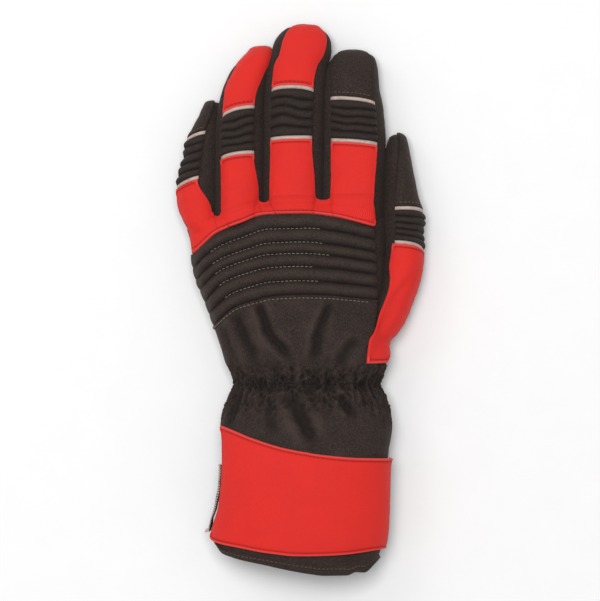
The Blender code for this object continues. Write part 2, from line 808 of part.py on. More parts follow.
def finger_trim(digit, tree, materials):
    """A digit's two pipings, ribbed stretch insert and tip panel."""
    turns, lower, upper = finger_lines(digit)
    half = 0.5 * PIPING_WIDTH
    side = SEAM_GAP

    def grid(rows):
        return digit_points(digit, rows, np.broadcast_to(turns, rows.shape))

    for place, line in (("lower", lower), ("upper", upper)):
        rows = between(line - half, line + half, (0.0, 0.5, 1.0))
        crown = np.array([0.45, 1.0, 0.45])[:, None] * PIPING_HEIGHT
        lay_sheet(f"{digit.name}_{place}_piping", grid(rows), tree, materials["grey"],
                  np.broadcast_to(crown, rows.shape))
    ribs = 5
    shares = np.linspace(0.0, 1.0, 2 * ribs + 1)
    rows = between(lower + half + side, upper - half - side, shares)
    crown = np.where(np.arange(2 * ribs + 1) % 2 == 1, FLEX_RIB_HEIGHT, 0.0)[:, None]
    lay_sheet(f"{digit.name}_flex", grid(rows), tree, materials["stretch"],
              np.broadcast_to(PANEL_THICKNESS + crown, rows.shape))
    root_y = digit_root(digit)[1]
    end = np.full_like(upper, root_y + digit.length * 0.992)
    start = upper + half + side
    rows = between(start, end, (0.0, 0.40, 0.72, 0.91, 1.0))
    material = materials["red"] if digit.tip_red else materials["black"]
    lay_sheet(f"{digit.name}_tip_panel", grid(rows), tree, material, PANEL_THICKNESS)


def plan_edge(points, shares):
    """X and Y at shares of the count of points of a seam."""
    spots = np.linspace(0.0, 1.0, len(points))
    x = np.interp(shares, spots, table(points, "across")) * HAND_WIDTH
    y = WRIST_Y + np.interp(shares, spots, table(points, "along")) * HAND_LENGTH
    return x, y


def on_back(x, y):
    """Points on the glove's back over plan positions, kept inside its left edge."""
    centre, half, _ = hand_section(y)
    x = np.where(x < centre, np.maximum(x, centre - half), x)
    return np.stack([x, y, back_height(x, y)], axis=-1)


def across_shares(columns):
    """Shares across the back, closer together at the rounded left edge."""
    even = np.linspace(0.0, 1.0, columns)
    return even ** 1.35


def fold_puff(x, y, folds):
    """How far cloth is puffed up between its folds, which taper at their ends."""
    puff = np.ones_like(x)
    for fold in folds:
        start = np.array([fold.from_across * HAND_WIDTH, WRIST_Y + fold.from_along * HAND_LENGTH])
        end = np.array([fold.to_across * HAND_WIDTH, WRIST_Y + fold.to_along * HAND_LENGTH])
        run = end - start
        share = ((x - start[0]) * run[0] + (y - start[1]) * run[1]) / run.dot(run)
        gap = np.abs((x - start[0]) * run[1] - (y - start[1]) * run[0]) / np.linalg.norm(run)
        taper = np.clip(np.minimum(share, 1.0 - share) * 5.0 + 0.5, 0.0, 1.0)
        puff -= fold.depth * taper * np.exp(-(gap / FOLD_WIDTH) ** 2)
    return np.clip(puff, 0.0, 1.0) * PUFF


def back_sheets(tree, materials):
    """The ribbed knuckle guard and the folded panel below it."""
    shares = across_shares(12)
    top_x, top_y = plan_edge(GUARD_TOP, shares)
    end_x, end_y = plan_edge(GUARD_END, shares)
    rows = np.linspace(0.0, 1.0, 2 * GUARD_RIBS + 1)
    span = SEAM_GAP / HAND_LENGTH
    rows_in = span + rows * (1.0 - 2.0 * span)
    x = between(end_x, top_x, rows_in)
    y = between(end_y, top_y, rows_in)
    crown = np.where(np.arange(len(rows)) % 2 == 1, RIB_HEIGHT, 0.0)[:, None]
    lay_sheet("knuckle_guard", on_back(x, y), tree, materials["black"],
              np.broadcast_to(GUARD_THICKNESS + crown, x.shape))
    shares = across_shares(12)
    low_x, low_y = plan_edge(BACK_END, shares)
    high_x, high_y = plan_edge(GUARD_END, shares)
    rows = np.linspace(0.0, 1.0, 7)
    x = between(low_x, high_x, rows)
    y = between(low_y, high_y - SEAM_GAP, rows)
    rim = np.minimum(1.0, 4.0 * np.minimum(rows, 1.0 - rows))[:, None]
    lay_sheet("back_panel", on_back(x, y), tree, materials["black"], PANEL_THICKNESS,
              raised=fold_puff(x, y, BACK_FOLDS) * rim)


def knuckle_panel(tree, materials):
    """The red panel over the knuckles with a tongue up each finger."""
    body_rows = 4
    tongue_rows = 3
    columns = []
    tongues = []
    for digit in reversed(DIGITS[:4]):
        turns, lower, _ = finger_lines(digit)
        start = len(columns)
        base_y = np.full_like(lower, crotch_y(digit))
        for turn, end, base in zip(turns, lower, base_y):
            columns.append((digit, turn, base, end - 0.5 * PIPING_WIDTH - SEAM_GAP))
        tongues.append((start, len(columns) - 1))
    count = len(columns)
    root_points = np.array([digit_points(d, np.array(base), np.array(turn))
                            for d, turn, base, _ in columns])
    root_x, root_y = root_points[:, 0], root_points[:, 1]
    guard_shares = np.interp(root_x, *guard_lookup())
    edge_x, edge_y = plan_edge(GUARD_TOP, guard_shares)
    rows = np.linspace(0.0, 1.0, body_rows)
    x = between(edge_x, root_x, rows)
    y = between(edge_y + SEAM_GAP, root_y, rows)
    body = on_back(x, y)
    tongue = np.zeros((tongue_rows, count, 3))
    for number in range(1, tongue_rows + 1):
        share = number / tongue_rows
        for column, (digit, turn, base, end) in enumerate(columns):
            spot = digit_points(digit, np.array(base + (end - base) * share), np.array(turn))
            tongue[number - 1, column] = spot
    points = np.concatenate([body, tongue])
    keep = np.ones((len(points) - 1, count - 1), dtype=bool)
    keep[body_rows - 1:] = False
    for start, end in tongues:
        keep[body_rows - 1:, start:end] = True
    lay_sheet("knuckle_panel", points, tree, materials["red"], PANEL_THICKNESS, keep)


def crotch_y(digit):
    """Y of the row where a finger's tongue leaves the knuckle panel."""
    shares = {"little": 0.955, "ring": 1.005, "middle": 1.035, "index": 1.045}
    return WRIST_Y + shares[digit.name] * HAND_LENGTH


def guard_lookup():
    """X of the guard's upper edge against shares along it, for reading shares back."""
    shares = np.linspace(0.0, 1.0, 50)
    x, _ = plan_edge(GUARD_TOP, shares)
    return x, shares


def thumb_panel(tree, materials):
    """The red panel over the thumb's lower half."""
    thumb = DIGITS[4]
    turns, lower, _ = finger_lines(thumb)
    root_y = digit_root(thumb)[1]
    start = np.full_like(lower, root_y + THUMB_PANEL[0].along * thumb.length)
    rows = between(start, lower - 0.5 * PIPING_WIDTH - SEAM_GAP, np.linspace(0.0, 1.0, 7))
    inner = np.radians(np.interp((rows - root_y) / thumb.length,
                                 table(THUMB_PANEL, "along"), table(THUMB_PANEL, "turn")))
    points = digit_points(thumb, rows, inner * turns / turns[0])
    lay_sheet("thumb_panel", points, tree, materials["red"], PANEL_THICKNESS)


def gather(y, turns):
    """Depth of the wrist's gathers, fading out towards the cuff."""
    away = (WRIST_Y - y) / CUFF_LENGTH
    return GATHER_DEPTH * math.exp(-away / 0.16) * np.cos(GATHERS * turns)


def lay_flat(points, level):
    """Press points below a level up to it."""
    points[:, 2] = np.maximum(points[:, 2], level)
    return points


def gauntlet(materials):
    """The gathered wrist and cuff: a ring wall, laid flat below."""
    turns = np.linspace(0.0, 2.0 * math.pi, CUFF_SIDES, endpoint=False)
    start = WRIST_Y - PART_GAP
    end = WRIST_Y - CUFF_LENGTH
    outer = []
    inner = []
    for row in CUFF:
        y = max(end, min(start, WRIST_Y - row.along * CUFF_LENGTH))
        ring = ring_points(y, cuff_section(y), turns, CUFF_POWER)
        centre, _, top = cuff_section(y)
        middle = np.array([centre, y, 0.5 * (top - PRESSED)])
        outward = ring - middle
        outward /= np.linalg.norm(outward, axis=1, keepdims=True)
        depth = gather(y, turns)
        upper = ring[:, 2] > 0.5 * (top - PRESSED)
        fold = np.where(upper, PUFF - fold_puff(ring[:, 0], ring[:, 1], CUFF_FOLDS), 0.0)
        outer.append(lay_flat(ring + outward * (depth - fold)[:, None], 0.0))
        inner.append(lay_flat(ring + outward * (depth - fold - WALL)[:, None], WALL))
    points, faces = ring_wall(outer, inner)
    piece = new_object("gauntlet", mesh_from("gauntlet", points, faces), materials["black"])
    tidy_mesh(piece)
    return piece


def hem(materials):
    """The bound end of the cuff, longer at the thumb side than at the other."""
    turns = np.linspace(0.0, 2.0 * math.pi, HEM_SIDES, endpoint=False)
    start = WRIST_Y - CUFF_LENGTH - PART_GAP
    across, _ = superellipse(turns, CUFF_POWER)
    reach = np.interp(0.5 + 0.5 * across, table(HEM_END, "across"), table(HEM_END, "reach"))
    outer = []
    inner = []
    for share in (0.0, 0.5, 1.0):
        ends = start - HEM_LENGTH * reach * share
        for inset, rings, level in ((0.0, outer, 0.0), (HEM_WALL, inner, HEM_WALL)):
            spots = [ring_points(y, cuff_section(y), turns[i:i + 1], CUFF_POWER, inset)[0]
                     for i, y in enumerate(ends)]
            rings.append(lay_flat(np.array(spots), level))
    points, faces = ring_wall(outer, inner)
    piece = new_object("cuff_hem", mesh_from("cuff_hem", points, faces), materials["black"])
    tidy_mesh(piece)
    return piece


def cuff_points(y, turns):
    """Points on the cuff's surface, from arrays of Y and of turns of one shape."""
    centre, half, top = cuff_section(y)
    across, up = superellipse(turns, CUFF_POWER)
    return np.stack([centre + half * across, y,
                     0.5 * (top - PRESSED) + 0.5 * (top + PRESSED) * up], axis=-1)


def flap_left(y):
    """Turn in degrees of the cuff flap's left edge at Y."""
    along = (WRIST_Y - y) / CUFF_LENGTH
    return np.interp(along, table(FLAP_LEFT, "along"), table(FLAP_LEFT, "turn"))


def cuff_flap(tree, materials):
    """The red panel over the back of the cuff, with its lower edge over the hem."""
    place = np.linspace(0.0, 1.0, 15)
    turns = np.radians(FLAP_LEFT[0].turn + (FLAP_RIGHT_TURN - FLAP_LEFT[0].turn) * place)
    share = 0.5 + 0.5 * superellipse(turns, CUFF_POWER)[0]
    top = WRIST_Y - CUFF_LENGTH * np.interp(share, table(FLAP, "across"), table(FLAP, "top"))
    bottom = WRIST_Y - CUFF_LENGTH * np.interp(share, table(FLAP, "across"), table(FLAP, "bottom"))
    rows = between(bottom, top, np.linspace(0.0, 1.0, 7))
    left = flap_left(rows)
    points = cuff_points(rows, np.radians(left + (FLAP_RIGHT_TURN - left) * place))
    lay_sheet("cuff_flap", points, tree, materials["red"], PANEL_THICKNESS)


def zip_pieces(tree, materials):
    """The zip beside the flap's left edge, and the tab at its end."""
    start = WRIST_Y - 0.45 * CUFF_LENGTH
    end = WRIST_Y - 0.955 * CUFF_LENGTH
    for name, first, last, thickness, material in (
            ("zip_tape", 22.0, 10.0, ZIP_THICKNESS * 0.6, materials["stretch"]),
            ("zip_teeth", 9.0, 4.0, ZIP_THICKNESS, materials["grey"])):
        rows = between(np.full(3, end), np.full(3, start), np.linspace(0.0, 1.0, 7))
        turns = np.radians(flap_left(rows) + np.linspace(first, last, 3))
        lay_sheet(name, cuff_points(rows, turns), tree, material, thickness)
    turn = math.radians(flap_left(end) + 16.0)
    root = cuff_points(np.array(end), np.array(turn))
    width = 0.5 * TAB_LENGTH
    low = root[2] - 0.5 * TAB_THICKNESS
    x0 = root[0] - LAY_GAP - ZIP_THICKNESS - PART_GAP
    outline = [(x0, end), (x0, end + width), (x0 - TAB_LENGTH, end + 0.8 * width),
               (x0 - TAB_LENGTH, end - 0.1 * width)]
    points = [(x, y, low) for x, y in outline] + [(x, y, low + TAB_THICKNESS) for x, y in outline]
    faces = [(0, 1, 2, 3), (4, 5, 6, 7)]
    faces += [(i, (i + 1) % 4, 4 + (i + 1) % 4, 4 + i) for i in range(4)]
    new_object("zip_tab", mesh_from("zip_tab", points, faces), materials["grey"])


def build():
    """Make every piece of the glove."""
    for piece in list(bpy.data.objects):
        bpy.data.objects.remove(piece)
    materials = {
        "black": cloth("black_cloth", BLACK, 0.9),
        "stretch": cloth("stretch_cloth", BLACK_STRETCH, 0.9),
        "red": cloth("red_cloth", RED, 0.8),
        "grey": cloth("reflective_piping", GREY, 0.5),
    }
    body, shell = glove_shell()
    part_shell(shell, materials["black"])
    tree = surface_tree(body)
    discard([body, shell])
    for digit in DIGITS:
        finger_trim(digit, tree, materials)
    knuckle_panel(tree, materials)
    back_sheets(tree, materials)
    thumb_panel(tree, materials)
    cuff = gauntlet(materials)
    cuff_tree = surface_tree(cuff, hem(materials))
    cuff_flap(cuff_tree, materials)
    zip_pieces(cuff_tree, materials)


build()
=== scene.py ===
"""Looks of the firefighter glove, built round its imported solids.

The origin is under the middle of the palm, +X points to the thumb side, +Y to the
fingertips and +Z up. The hand, each digit and the cuff are lofts of rounded sections
in planes of constant Y. Panels, quilting, pipings and threads are laid on those
lofts, each as a closed sheet worked out on a grid of rows and columns.
"""
import math
from collections import namedtuple

import bpy
import numpy as np
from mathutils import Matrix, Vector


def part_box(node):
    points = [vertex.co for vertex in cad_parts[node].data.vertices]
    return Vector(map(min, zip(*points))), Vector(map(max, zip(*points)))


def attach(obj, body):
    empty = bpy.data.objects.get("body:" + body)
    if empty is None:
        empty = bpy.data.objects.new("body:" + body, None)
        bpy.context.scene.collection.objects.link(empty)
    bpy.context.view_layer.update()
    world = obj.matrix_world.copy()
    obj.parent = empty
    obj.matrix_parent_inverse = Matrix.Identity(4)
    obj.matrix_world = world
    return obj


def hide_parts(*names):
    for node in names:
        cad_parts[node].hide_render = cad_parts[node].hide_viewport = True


bl_info = {
    "name": "Firefighter glove",
    "version": (1, 0, 0),
    "blender": (4, 5, 0),
    "location": "View3D > Sidebar > Glove",
    "description": "Dresses the packed glove in cloth, quilting, piping and thread",
    "category": "Mesh",
}

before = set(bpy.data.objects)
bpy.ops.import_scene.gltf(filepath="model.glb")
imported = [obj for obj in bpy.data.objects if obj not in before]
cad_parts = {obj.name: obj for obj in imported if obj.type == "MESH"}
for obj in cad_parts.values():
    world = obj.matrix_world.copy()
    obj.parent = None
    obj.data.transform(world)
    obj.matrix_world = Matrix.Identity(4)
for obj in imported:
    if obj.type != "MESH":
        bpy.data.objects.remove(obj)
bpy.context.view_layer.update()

# Rounding of the sections and of the closed fingertips
HAND_POWER = 2.5
DIGIT_POWER = 2.3
CUFF_POWER = 2.4
TIP_START = 0.982
# Softness in metres of the bend where the glove rests on the ground
REST_BEND = 0.0012
# Softness in metres of the swell where the knuckles lift the back
KNUCKLE_BLEND = 0.0030
# Where the origin lies along the hand, as a share of its length from the wrist
ORIGIN_SHARE = 0.4835
# The finger roots lie this share of the hand's length from the wrist
ROOT_SHARE = 0.930
# Distances in metres from a panel's edge to its first rows, the last one the stitch row
RIM = np.array([0.0, 0.0003, 0.0008, 0.0014, 0.0021])
STITCH_ROW = len(RIM) - 1
# Spacing in metres of a panel's other rows and columns
STEP = 0.0008
# Rows of points round a closed fingertip
TIP_ROWS = 12
# The least height in metres of any cloth above the ground
GROUND = 0.0002
# How far a panel reaches under a piping, as a share of the piping's width
UNDER_PIPING = 0.3
# The share at which a seam of the back ends round its left side, before its first point
WRAP_SHARE = -0.15
# The turns in degrees that the black panels and the knuckle panel reach there
BACK_WRAP = 200.0
KNUCKLE_WRAP = 172.0

# Sections. Lengths along are shares of the piece's length, the edges left and right
# are shares of its width from the origin, and top is a share of its thickness.
Section = namedtuple("Section", "along left right top")
HAND = (
    Section(0.000, -0.325, 0.390, 0.91),
    Section(0.050, -0.326, 0.400, 0.92),
    Section(0.135, -0.355, 0.424, 0.96),
    Section(0.250, -0.383, 0.412, 0.99),
    Section(0.370, -0.422, 0.405, 1.00),
    Section(0.485, -0.458, 0.408, 1.00),
    Section(0.600, -0.498, 0.410, 0.99),
    Section(0.715, -0.519, 0.413, 0.96),
    Section(0.830, -0.527, 0.413, 0.92),
    Section(0.930, -0.540, 0.413, 0.85),
    Section(0.990, -0.560, 0.412, 0.76),
    Section(1.040, -0.565, 0.405, 0.66),
)
CUFF = (
    Section(0.000, -0.390, 0.468, 0.75),
    Section(0.080, -0.418, 0.493, 0.80),
    Section(0.160, -0.443, 0.520, 0.87),
    Section(0.260, -0.462, 0.534, 0.92),
    Section(0.380, -0.459, 0.520, 0.97),
    Section(0.550, -0.458, 0.500, 1.00),
    Section(0.780, -0.473, 0.495, 1.00),
    Section(1.000, -0.498, 0.482, 0.99),
    Section(1.100, -0.498, 0.456, 0.97),
    Section(1.250, -0.486, 0.442, 0.94),
)
# How far the hem reaches, as a share of its length, from its left edge to its right
HemEnd = namedtuple("HemEnd", "across reach")
HEM_END = (
    HemEnd(0.00, 0.10),
    HemEnd(0.05, 0.40),
    HemEnd(0.33, 0.72),
    HemEnd(0.50, 0.89),
    HemEnd(0.68, 1.00),
    HemEnd(0.81, 1.00),
    HemEnd(0.87, 0.91),
    HemEnd(0.92, 0.93),
    HemEnd(1.00, 0.60),
)

# A digit's sections. along is a share of its length from its root, centre is its
# middle line's shift to the right as a share of its length, width and top are shares
# of its width and thickness.
Slice = namedtuple("Slice", "along centre width top")
INDEX = (
    Slice(0.000, 0.000, 1.00, 1.08),
    Slice(0.100, 0.003, 1.00, 1.09),
    Slice(0.200, 0.008, 1.00, 1.08),
    Slice(0.500, 0.017, 1.00, 1.01),
    Slice(0.684, 0.011, 0.96, 1.00),
    Slice(0.777, 0.003, 0.89, 0.99),
    Slice(0.893, 0.002, 0.84, 0.93),
    Slice(0.964, 0.009, 0.69, 0.78),
    Slice(0.990, 0.006, 0.50, 0.62),
    Slice(1.000, 0.005, 0.33, 0.50),
)
MIDDLE = (
    Slice(0.000, 0.000, 1.00, 1.18),
    Slice(0.090, 0.000, 1.00, 1.16),
    Slice(0.180, 0.000, 1.00, 1.11),
    Slice(0.450, 0.002, 1.00, 1.02),
    Slice(0.680, 0.009, 1.01, 1.01),
    Slice(0.790, 0.016, 1.00, 0.99),
    Slice(0.850, 0.039, 0.98, 0.96),
    Slice(0.906, 0.048, 0.96, 0.89),
    Slice(0.946, 0.053, 0.86, 0.80),
    Slice(0.985, 0.054, 0.59, 0.64),
    Slice(1.000, 0.058, 0.38, 0.50),
)
RING = (
    Slice(0.000, 0.000, 0.98, 1.18),
    Slice(0.095, 0.000, 0.98, 1.16),
    Slice(0.190, 0.002, 0.98, 1.12),
    Slice(0.510, 0.004, 0.97, 1.04),
    Slice(0.650, 0.009, 0.93, 1.03),
    Slice(0.753, 0.023, 0.86, 1.01),
    Slice(0.840, 0.052, 0.78, 0.95),
    Slice(0.925, 0.094, 0.66, 0.86),
    Slice(0.971, 0.118, 0.52, 0.72),
    Slice(1.000, 0.126, 0.42, 0.52),
)
LITTLE = (
    Slice(0.000, 0.015, 0.71, 1.22),
    Slice(0.060, 0.006, 0.86, 1.20),
    Slice(0.120, -0.005, 0.94, 1.18),
    Slice(0.200, -0.009, 0.97, 1.14),
    Slice(0.330, -0.010, 0.98, 1.09),
    Slice(0.510, 0.014, 0.88, 1.03),
    Slice(0.700, 0.038, 0.77, 0.99),
    Slice(0.886, 0.091, 0.52, 0.86),
    Slice(0.960, 0.112, 0.44, 0.72),
    Slice(1.000, 0.122, 0.36, 0.52),
)
THUMB = (
    Slice(0.000, 0.006, 0.90, 1.10),
    Slice(0.064, 0.012, 0.96, 1.12),
    Slice(0.100, 0.036, 1.08, 1.12),
    Slice(0.172, 0.073, 1.14, 1.12),
    Slice(0.245, 0.105, 1.10, 1.10),
    Slice(0.318, 0.137, 1.05, 1.06),
    Slice(0.391, 0.155, 1.04, 1.04),
    Slice(0.463, 0.161, 1.00, 1.02),
    Slice(0.573, 0.161, 0.97, 1.00),
    Slice(0.645, 0.161, 0.97, 0.98),
    Slice(0.718, 0.153, 0.85, 0.96),
    Slice(0.791, 0.145, 0.75, 0.93),
    Slice(0.864, 0.138, 0.67, 0.87),
    Slice(0.937, 0.134, 0.56, 0.78),
    Slice(0.973, 0.134, 0.47, 0.70),
    Slice(1.000, 0.135, 0.36, 0.52),
)

# A digit's place and its seams. root_across and root_along are shares of the hand's
# width from the origin and of its length from the wrist. left and right are the turns
# in degrees of its back panel's edges at the joint, counted from the section's right
# edge over its top, and the crotch's and tip's are those edges at its root and tip.
# The pipings' ends on both sides and their bows are shares of the digit's length.
Digit = namedtuple("Digit", "name slices root_across root_along left right crotch_left "
                   "crotch_right tip_left tip_right lower_left lower_right upper_left "
                   "upper_right lower_bow upper_bow tip_red")
DIGITS = (
    Digit("index", INDEX, 0.2520, 0.8965, 138, 51, 134, 55, 146, 44,
          0.494, 0.471, 0.727, 0.700, 0.006, 0.012, False),
    Digit("middle", MIDDLE, -0.0375, 0.8965, 135, 55, 136, 46, 131, 34,
          0.435, 0.443, 0.676, 0.674, 0.004, 0.016, True),
    Digit("ring", RING, -0.2975, 0.8872, 136, 56, 134, 40, 168, 34,
          0.388, 0.420, 0.618, 0.668, 0.010, 0.014, True),
    Digit("little", LITTLE, -0.4945, 0.8965, 160, 88, 164, 47, 160, 80,
          0.312, 0.398, 0.688, 0.752, 0.004, 0.006, False),
    Digit("thumb", THUMB, 0.3230, 0.1717, 112, -8, 112, -8, 84, -12,
          0.508, 0.458, 0.660, 0.640, 0.012, 0.008, False),
)
# Where the tongues leave the knuckle panel, as root_along: at the little finger's left
# side, at the three crotches from there, and at the index finger's right side
CROTCHES = (0.985, 0.989, 1.0755, 1.089, 1.089)
# How deep in metres a crotch dips between two tongues, and the columns across it
CROTCH_DIP = 0.0036
CROTCH_COLUMNS = 10
# Ribs of a stretch insert, and rows of points to one of its ribs and of the guard's
FLEX_RIBS = 5
FLEX_RIB_ROWS = 16
GUARD_RIB_ROWS = 18
# The turn in degrees where the guard's ribs start to flatten, and where they are flat
RIB_END = 142.0
RIB_FLAT = 168.0
# The guard's columns that are stitched, and how far its lines' ends are staggered
GUARD_STITCHED = (76, 196)
STAGGER = 8
# The column of the back panel where its stitch row is looked for
BACK_MIDDLE = 90
# The right end of the thumb panel and of the cuff flap, as turns in degrees
THUMB_RIGHT = -14.0
FLAP_RIGHT = -8.0

# Points of the seams on the back, as shares of the hand's width across from the
# origin and of its length along from the wrist
Point = namedtuple("Point", "across along")
GUARD_TOP = (
    Point(-0.535, 0.742), Point(-0.512, 0.748), Point(-0.405, 0.856), Point(-0.264, 0.926),
    Point(-0.167, 0.966), Point(0.015, 0.972), Point(0.153, 0.956), Point(0.352, 0.902),
)
GUARD_END = (
    Point(-0.416, 0.335), Point(-0.395, 0.360), Point(-0.310, 0.447), Point(-0.216, 0.485),
    Point(-0.124, 0.508), Point(0.015, 0.515), Point(0.107, 0.513), Point(0.366, 0.485),
)
# Where the guard's grooves lie, as shares from its lower seam to its upper one
GUARD_GROOVES = (0.0, 0.170, 0.346, 0.510, 0.651, 0.823, 1.0)
BACK_END = (
    Point(-0.330, 0.000), Point(-0.310, 0.000), Point(-0.230, 0.000), Point(-0.150, 0.000),
    Point(-0.070, 0.000), Point(0.050, 0.000), Point(0.170, 0.000), Point(0.330, 0.000),
)
# The hand's front edge between the fingers
FRONT = (
    Point(-0.640, 0.950), Point(-0.414, 0.962), Point(-0.182, 1.025), Point(0.700, 1.030),
)

# Folds of the back and of the gathered cuff, from one end to the other in shares as
# above, with the depth as a share of the folds' own
Fold = namedtuple("Fold", "from_across from_along to_across to_along depth width")
FOLDS = (
    Fold(-0.311, 0.410, -0.215, 0.103, 0.9, 1.3),
    Fold(-0.215, 0.467, -0.054, 0.114, 1.1, 1.0),
    Fold(0.138, 0.467, 0.052, 0.114, 0.9, 1.0),
    Fold(0.276, 0.258, 0.171, 0.100, 0.7, 1.2),
    Fold(-0.360, 0.330, -0.300, 0.080, 0.5, 1.2),
    Fold(-0.057, -0.060, 0.070, -0.350, 1.2, 1.3),
    Fold(0.177, -0.050, 0.262, -0.200, 1.0, 1.0),
    Fold(-0.300, -0.060, -0.345, -0.260, 0.7, 1.0),
    Fold(-0.170, -0.070, -0.120, -0.300, 0.5, 1.5),
)

# The red thumb panel's inner edge: along is a share of the thumb's length and turn
# the edge's turn round the section, in degrees from its right edge
Edge = namedtuple("Edge", "along turn")
THUMB_PANEL = (
    Edge(-0.050, 100), Edge(0.020, 98), Edge(0.082, 96), Edge(0.172, 101), Edge(0.255, 103),
    Edge(0.330, 112), Edge(0.406, 124), Edge(0.520, 117),
)
# The turn in degrees of the cuff flap's left edge, down the cuff as shares of its length
FLAP_LEFT = (
    Edge(0.262, 165), Edge(0.400, 163), Edge(0.600, 162), Edge(0.800, 164), Edge(0.930, 171),
    Edge(1.000, 174),
)
# The cuff flap's edges, as shares of the cuff's length from the wrist, from its left
FlapEdge = namedtuple("FlapEdge", "across top bottom")
FLAP = (
    FlapEdge(0.00, 0.262, 0.975),
    FlapEdge(0.04, 0.278, 1.015),
    FlapEdge(0.18, 0.345, 1.045),
    FlapEdge(0.38, 0.412, 1.080),
    FlapEdge(0.60, 0.452, 1.098),
    FlapEdge(0.80, 0.470, 1.088),
    FlapEdge(1.00, 0.475, 1.055),
)

# Creases of the thumb panel: a point on each and its depth in metres, and its lean
Crease = namedtuple("Crease", "x y lean depth")
CREASES = (
    Crease(0.052, -0.012, 0.55, 0.0014), Crease(0.060, 0.004, 0.75, 0.0009),
    Crease(0.048, -0.026, 0.40, 0.0010),
)
# Half a crease's width and half its length in metres, and how much shade is painted into it
CREASE_WIDTH = 0.0028
CREASE_REACH = 0.012
CREASE_SHADE = 90.0
# Where the zip starts and ends down the cuff, as shares of its length
ZIP_START = 0.520
ZIP_END = 0.955
# The picture's height over its width, and half the side of the floor in metres
PICTURE_SHAPE = 601.0 / 600.0
FLOOR_HALF = 6.0


def length(name, description, default):
    """A property that holds a length in metres."""
    return bpy.props.FloatProperty(name=name, description=description, default=default,
                                   min=0.0, precision=5, unit="LENGTH", subtype="DISTANCE")


def colour(name, description, default):
    """A property that holds a linear colour."""
    return bpy.props.FloatVectorProperty(name=name, description=description, default=default,
                                         size=3, min=0.0, max=1.0, subtype="COLOR")


class GloveSizes(bpy.types.PropertyGroup):
    """The glove's sizes, the same as its solids'."""

    hand_length: length("Hand length", "From the wrist to the finger roots", 0.1090)
    hand_width: length("Hand width", "Across the hand", 0.1300)
    hand_thickness: length("Hand thickness", "Of the hollow hand, lying down", 0.0450)
    cuff_length: length("Cuff length", "From the wrist to the hem", 0.0970)
    cuff_width: length("Cuff width", "Across the cuff", 0.1080)
    cuff_thickness: length("Cuff thickness", "Of the hollow cuff, lying down", 0.0550)
    hem_length: length("Hem length", "Of the black end of the cuff", 0.0220)
    index_length: length("Index length", "From the root to the tip", 0.1120)
    index_width: length("Index width", "Across the index finger", 0.0392)
    index_thickness: length("Index thickness", "Of the index finger", 0.0310)
    middle_length: length("Middle length", "From the root to the tip", 0.1283)
    middle_width: length("Middle width", "Across the middle finger", 0.0372)
    middle_thickness: length("Middle thickness", "Of the middle finger", 0.0310)
    ring_length: length("Ring length", "From the root to the tip", 0.1155)
    ring_width: length("Ring width", "Across the ring finger", 0.0298)
    ring_thickness: length("Ring thickness", "Of the ring finger", 0.0310)
    little_length: length("Little length", "From the root to the tip", 0.0800)
    little_width: length("Little width", "Across the little finger", 0.0245)
    little_thickness: length("Little thickness", "Of the little finger", 0.0270)
    thumb_length: length("Thumb length", "From the root to the tip", 0.1386)
    thumb_width: length("Thumb width", "Across the thumb", 0.0234)
    thumb_thickness: length("Thumb thickness", "Of the thumb", 0.0310)
    wall: length("Wall", "Thickness of the glove's shell", 0.0020)
    shell_inset: length("Shell inset", "How far the shell lies below its panels", 0.0006)
    pressed: length("Pressed", "How far the underside is pressed flat by lying", 0.0030)
    panel_thickness: length("Panel thickness", "Of a red or black panel", 0.0012)
    guard_thickness: length("Guard thickness", "Of the quilted guard in its grooves", 0.0012)
    rib_height: length("Rib height", "Of the guard's quilted ribs", 0.0030)
    flex_rib_height: length("Flex rib height", "Of the ribs over the finger joints", 0.0024)
    piping_width: length("Piping width", "Of the grey pipings", 0.0028)
    piping_height: length("Piping height", "Of the grey pipings", 0.0017)
    seam_gap: length("Seam gap", "Between neighbouring panels", 0.0004)
    fold_depth: length("Fold depth", "Of the folds on the back and the cuff", 0.0028)
    fold_width: length("Fold width", "Half the width of those folds", 0.0027)
    gather_depth: length("Gather depth", "Of the elastic gathers at the wrist", 0.0034)
    stitch_pitch: length("Stitch pitch", "From one stitch to the next", 0.0027)
    stitch_length: length("Stitch length", "Of one stitch", 0.0019)
    thread: length("Thread", "Radius of the sewing thread", 0.00026)


class GloveColours(bpy.types.PropertyGroup):
    """The glove's colours, each the middle tone of its cloth or thread."""

    black: colour("Black cloth", "Palm, sides, back and cuff", (0.0270, 0.0180, 0.0150))
    stretch: colour("Stretch cloth", "Ribbed inserts over the joints", (0.0240, 0.0165, 0.0140))
    red: colour("Red cloth", "Knuckle panel, thumb panel, tips and cuff flap", (0.75, 0.0235, 0.0170))
    grey: colour("Piping", "Reflective pipings", (0.48, 0.38, 0.33))
    light_thread: colour("Light thread", "Stitches on the black quilting", (0.25, 0.20, 0.17))
    red_thread: colour("Red thread", "Stitches on the red cloth", (0.30, 0.010, 0.010))
    brown_thread: colour("Brown thread", "Stitches on the hem", (0.12, 0.075, 0.05))
    floor: colour("Floor", "The pale ground", (0.93, 0.93, 0.93))


class GloveStage(bpy.types.PropertyGroup):
    """Camera and light."""

    camera_height: length("Camera height", "Above the ground", 3.0)
    view_width: length("View width", "Width of the ground that the picture shows", 0.378)
    sky: bpy.props.FloatProperty(name="Sky", description="Strength of the even light from all round",
                                 default=0.42, min=0.0)
    key: bpy.props.FloatProperty(name="Key", description="Power of the soft light above",
                                 default=36.0, min=0.0, unit="POWER")
    fill: bpy.props.FloatProperty(name="Fill", description="Power of the light from the upper left",
                                  default=4.0, min=0.0, unit="POWER")


def sizes():
    """The sizes set in the scene."""
    return bpy.context.scene.glove_sizes


def colours():
    """The colours set in the scene."""
    return bpy.context.scene.glove_colours


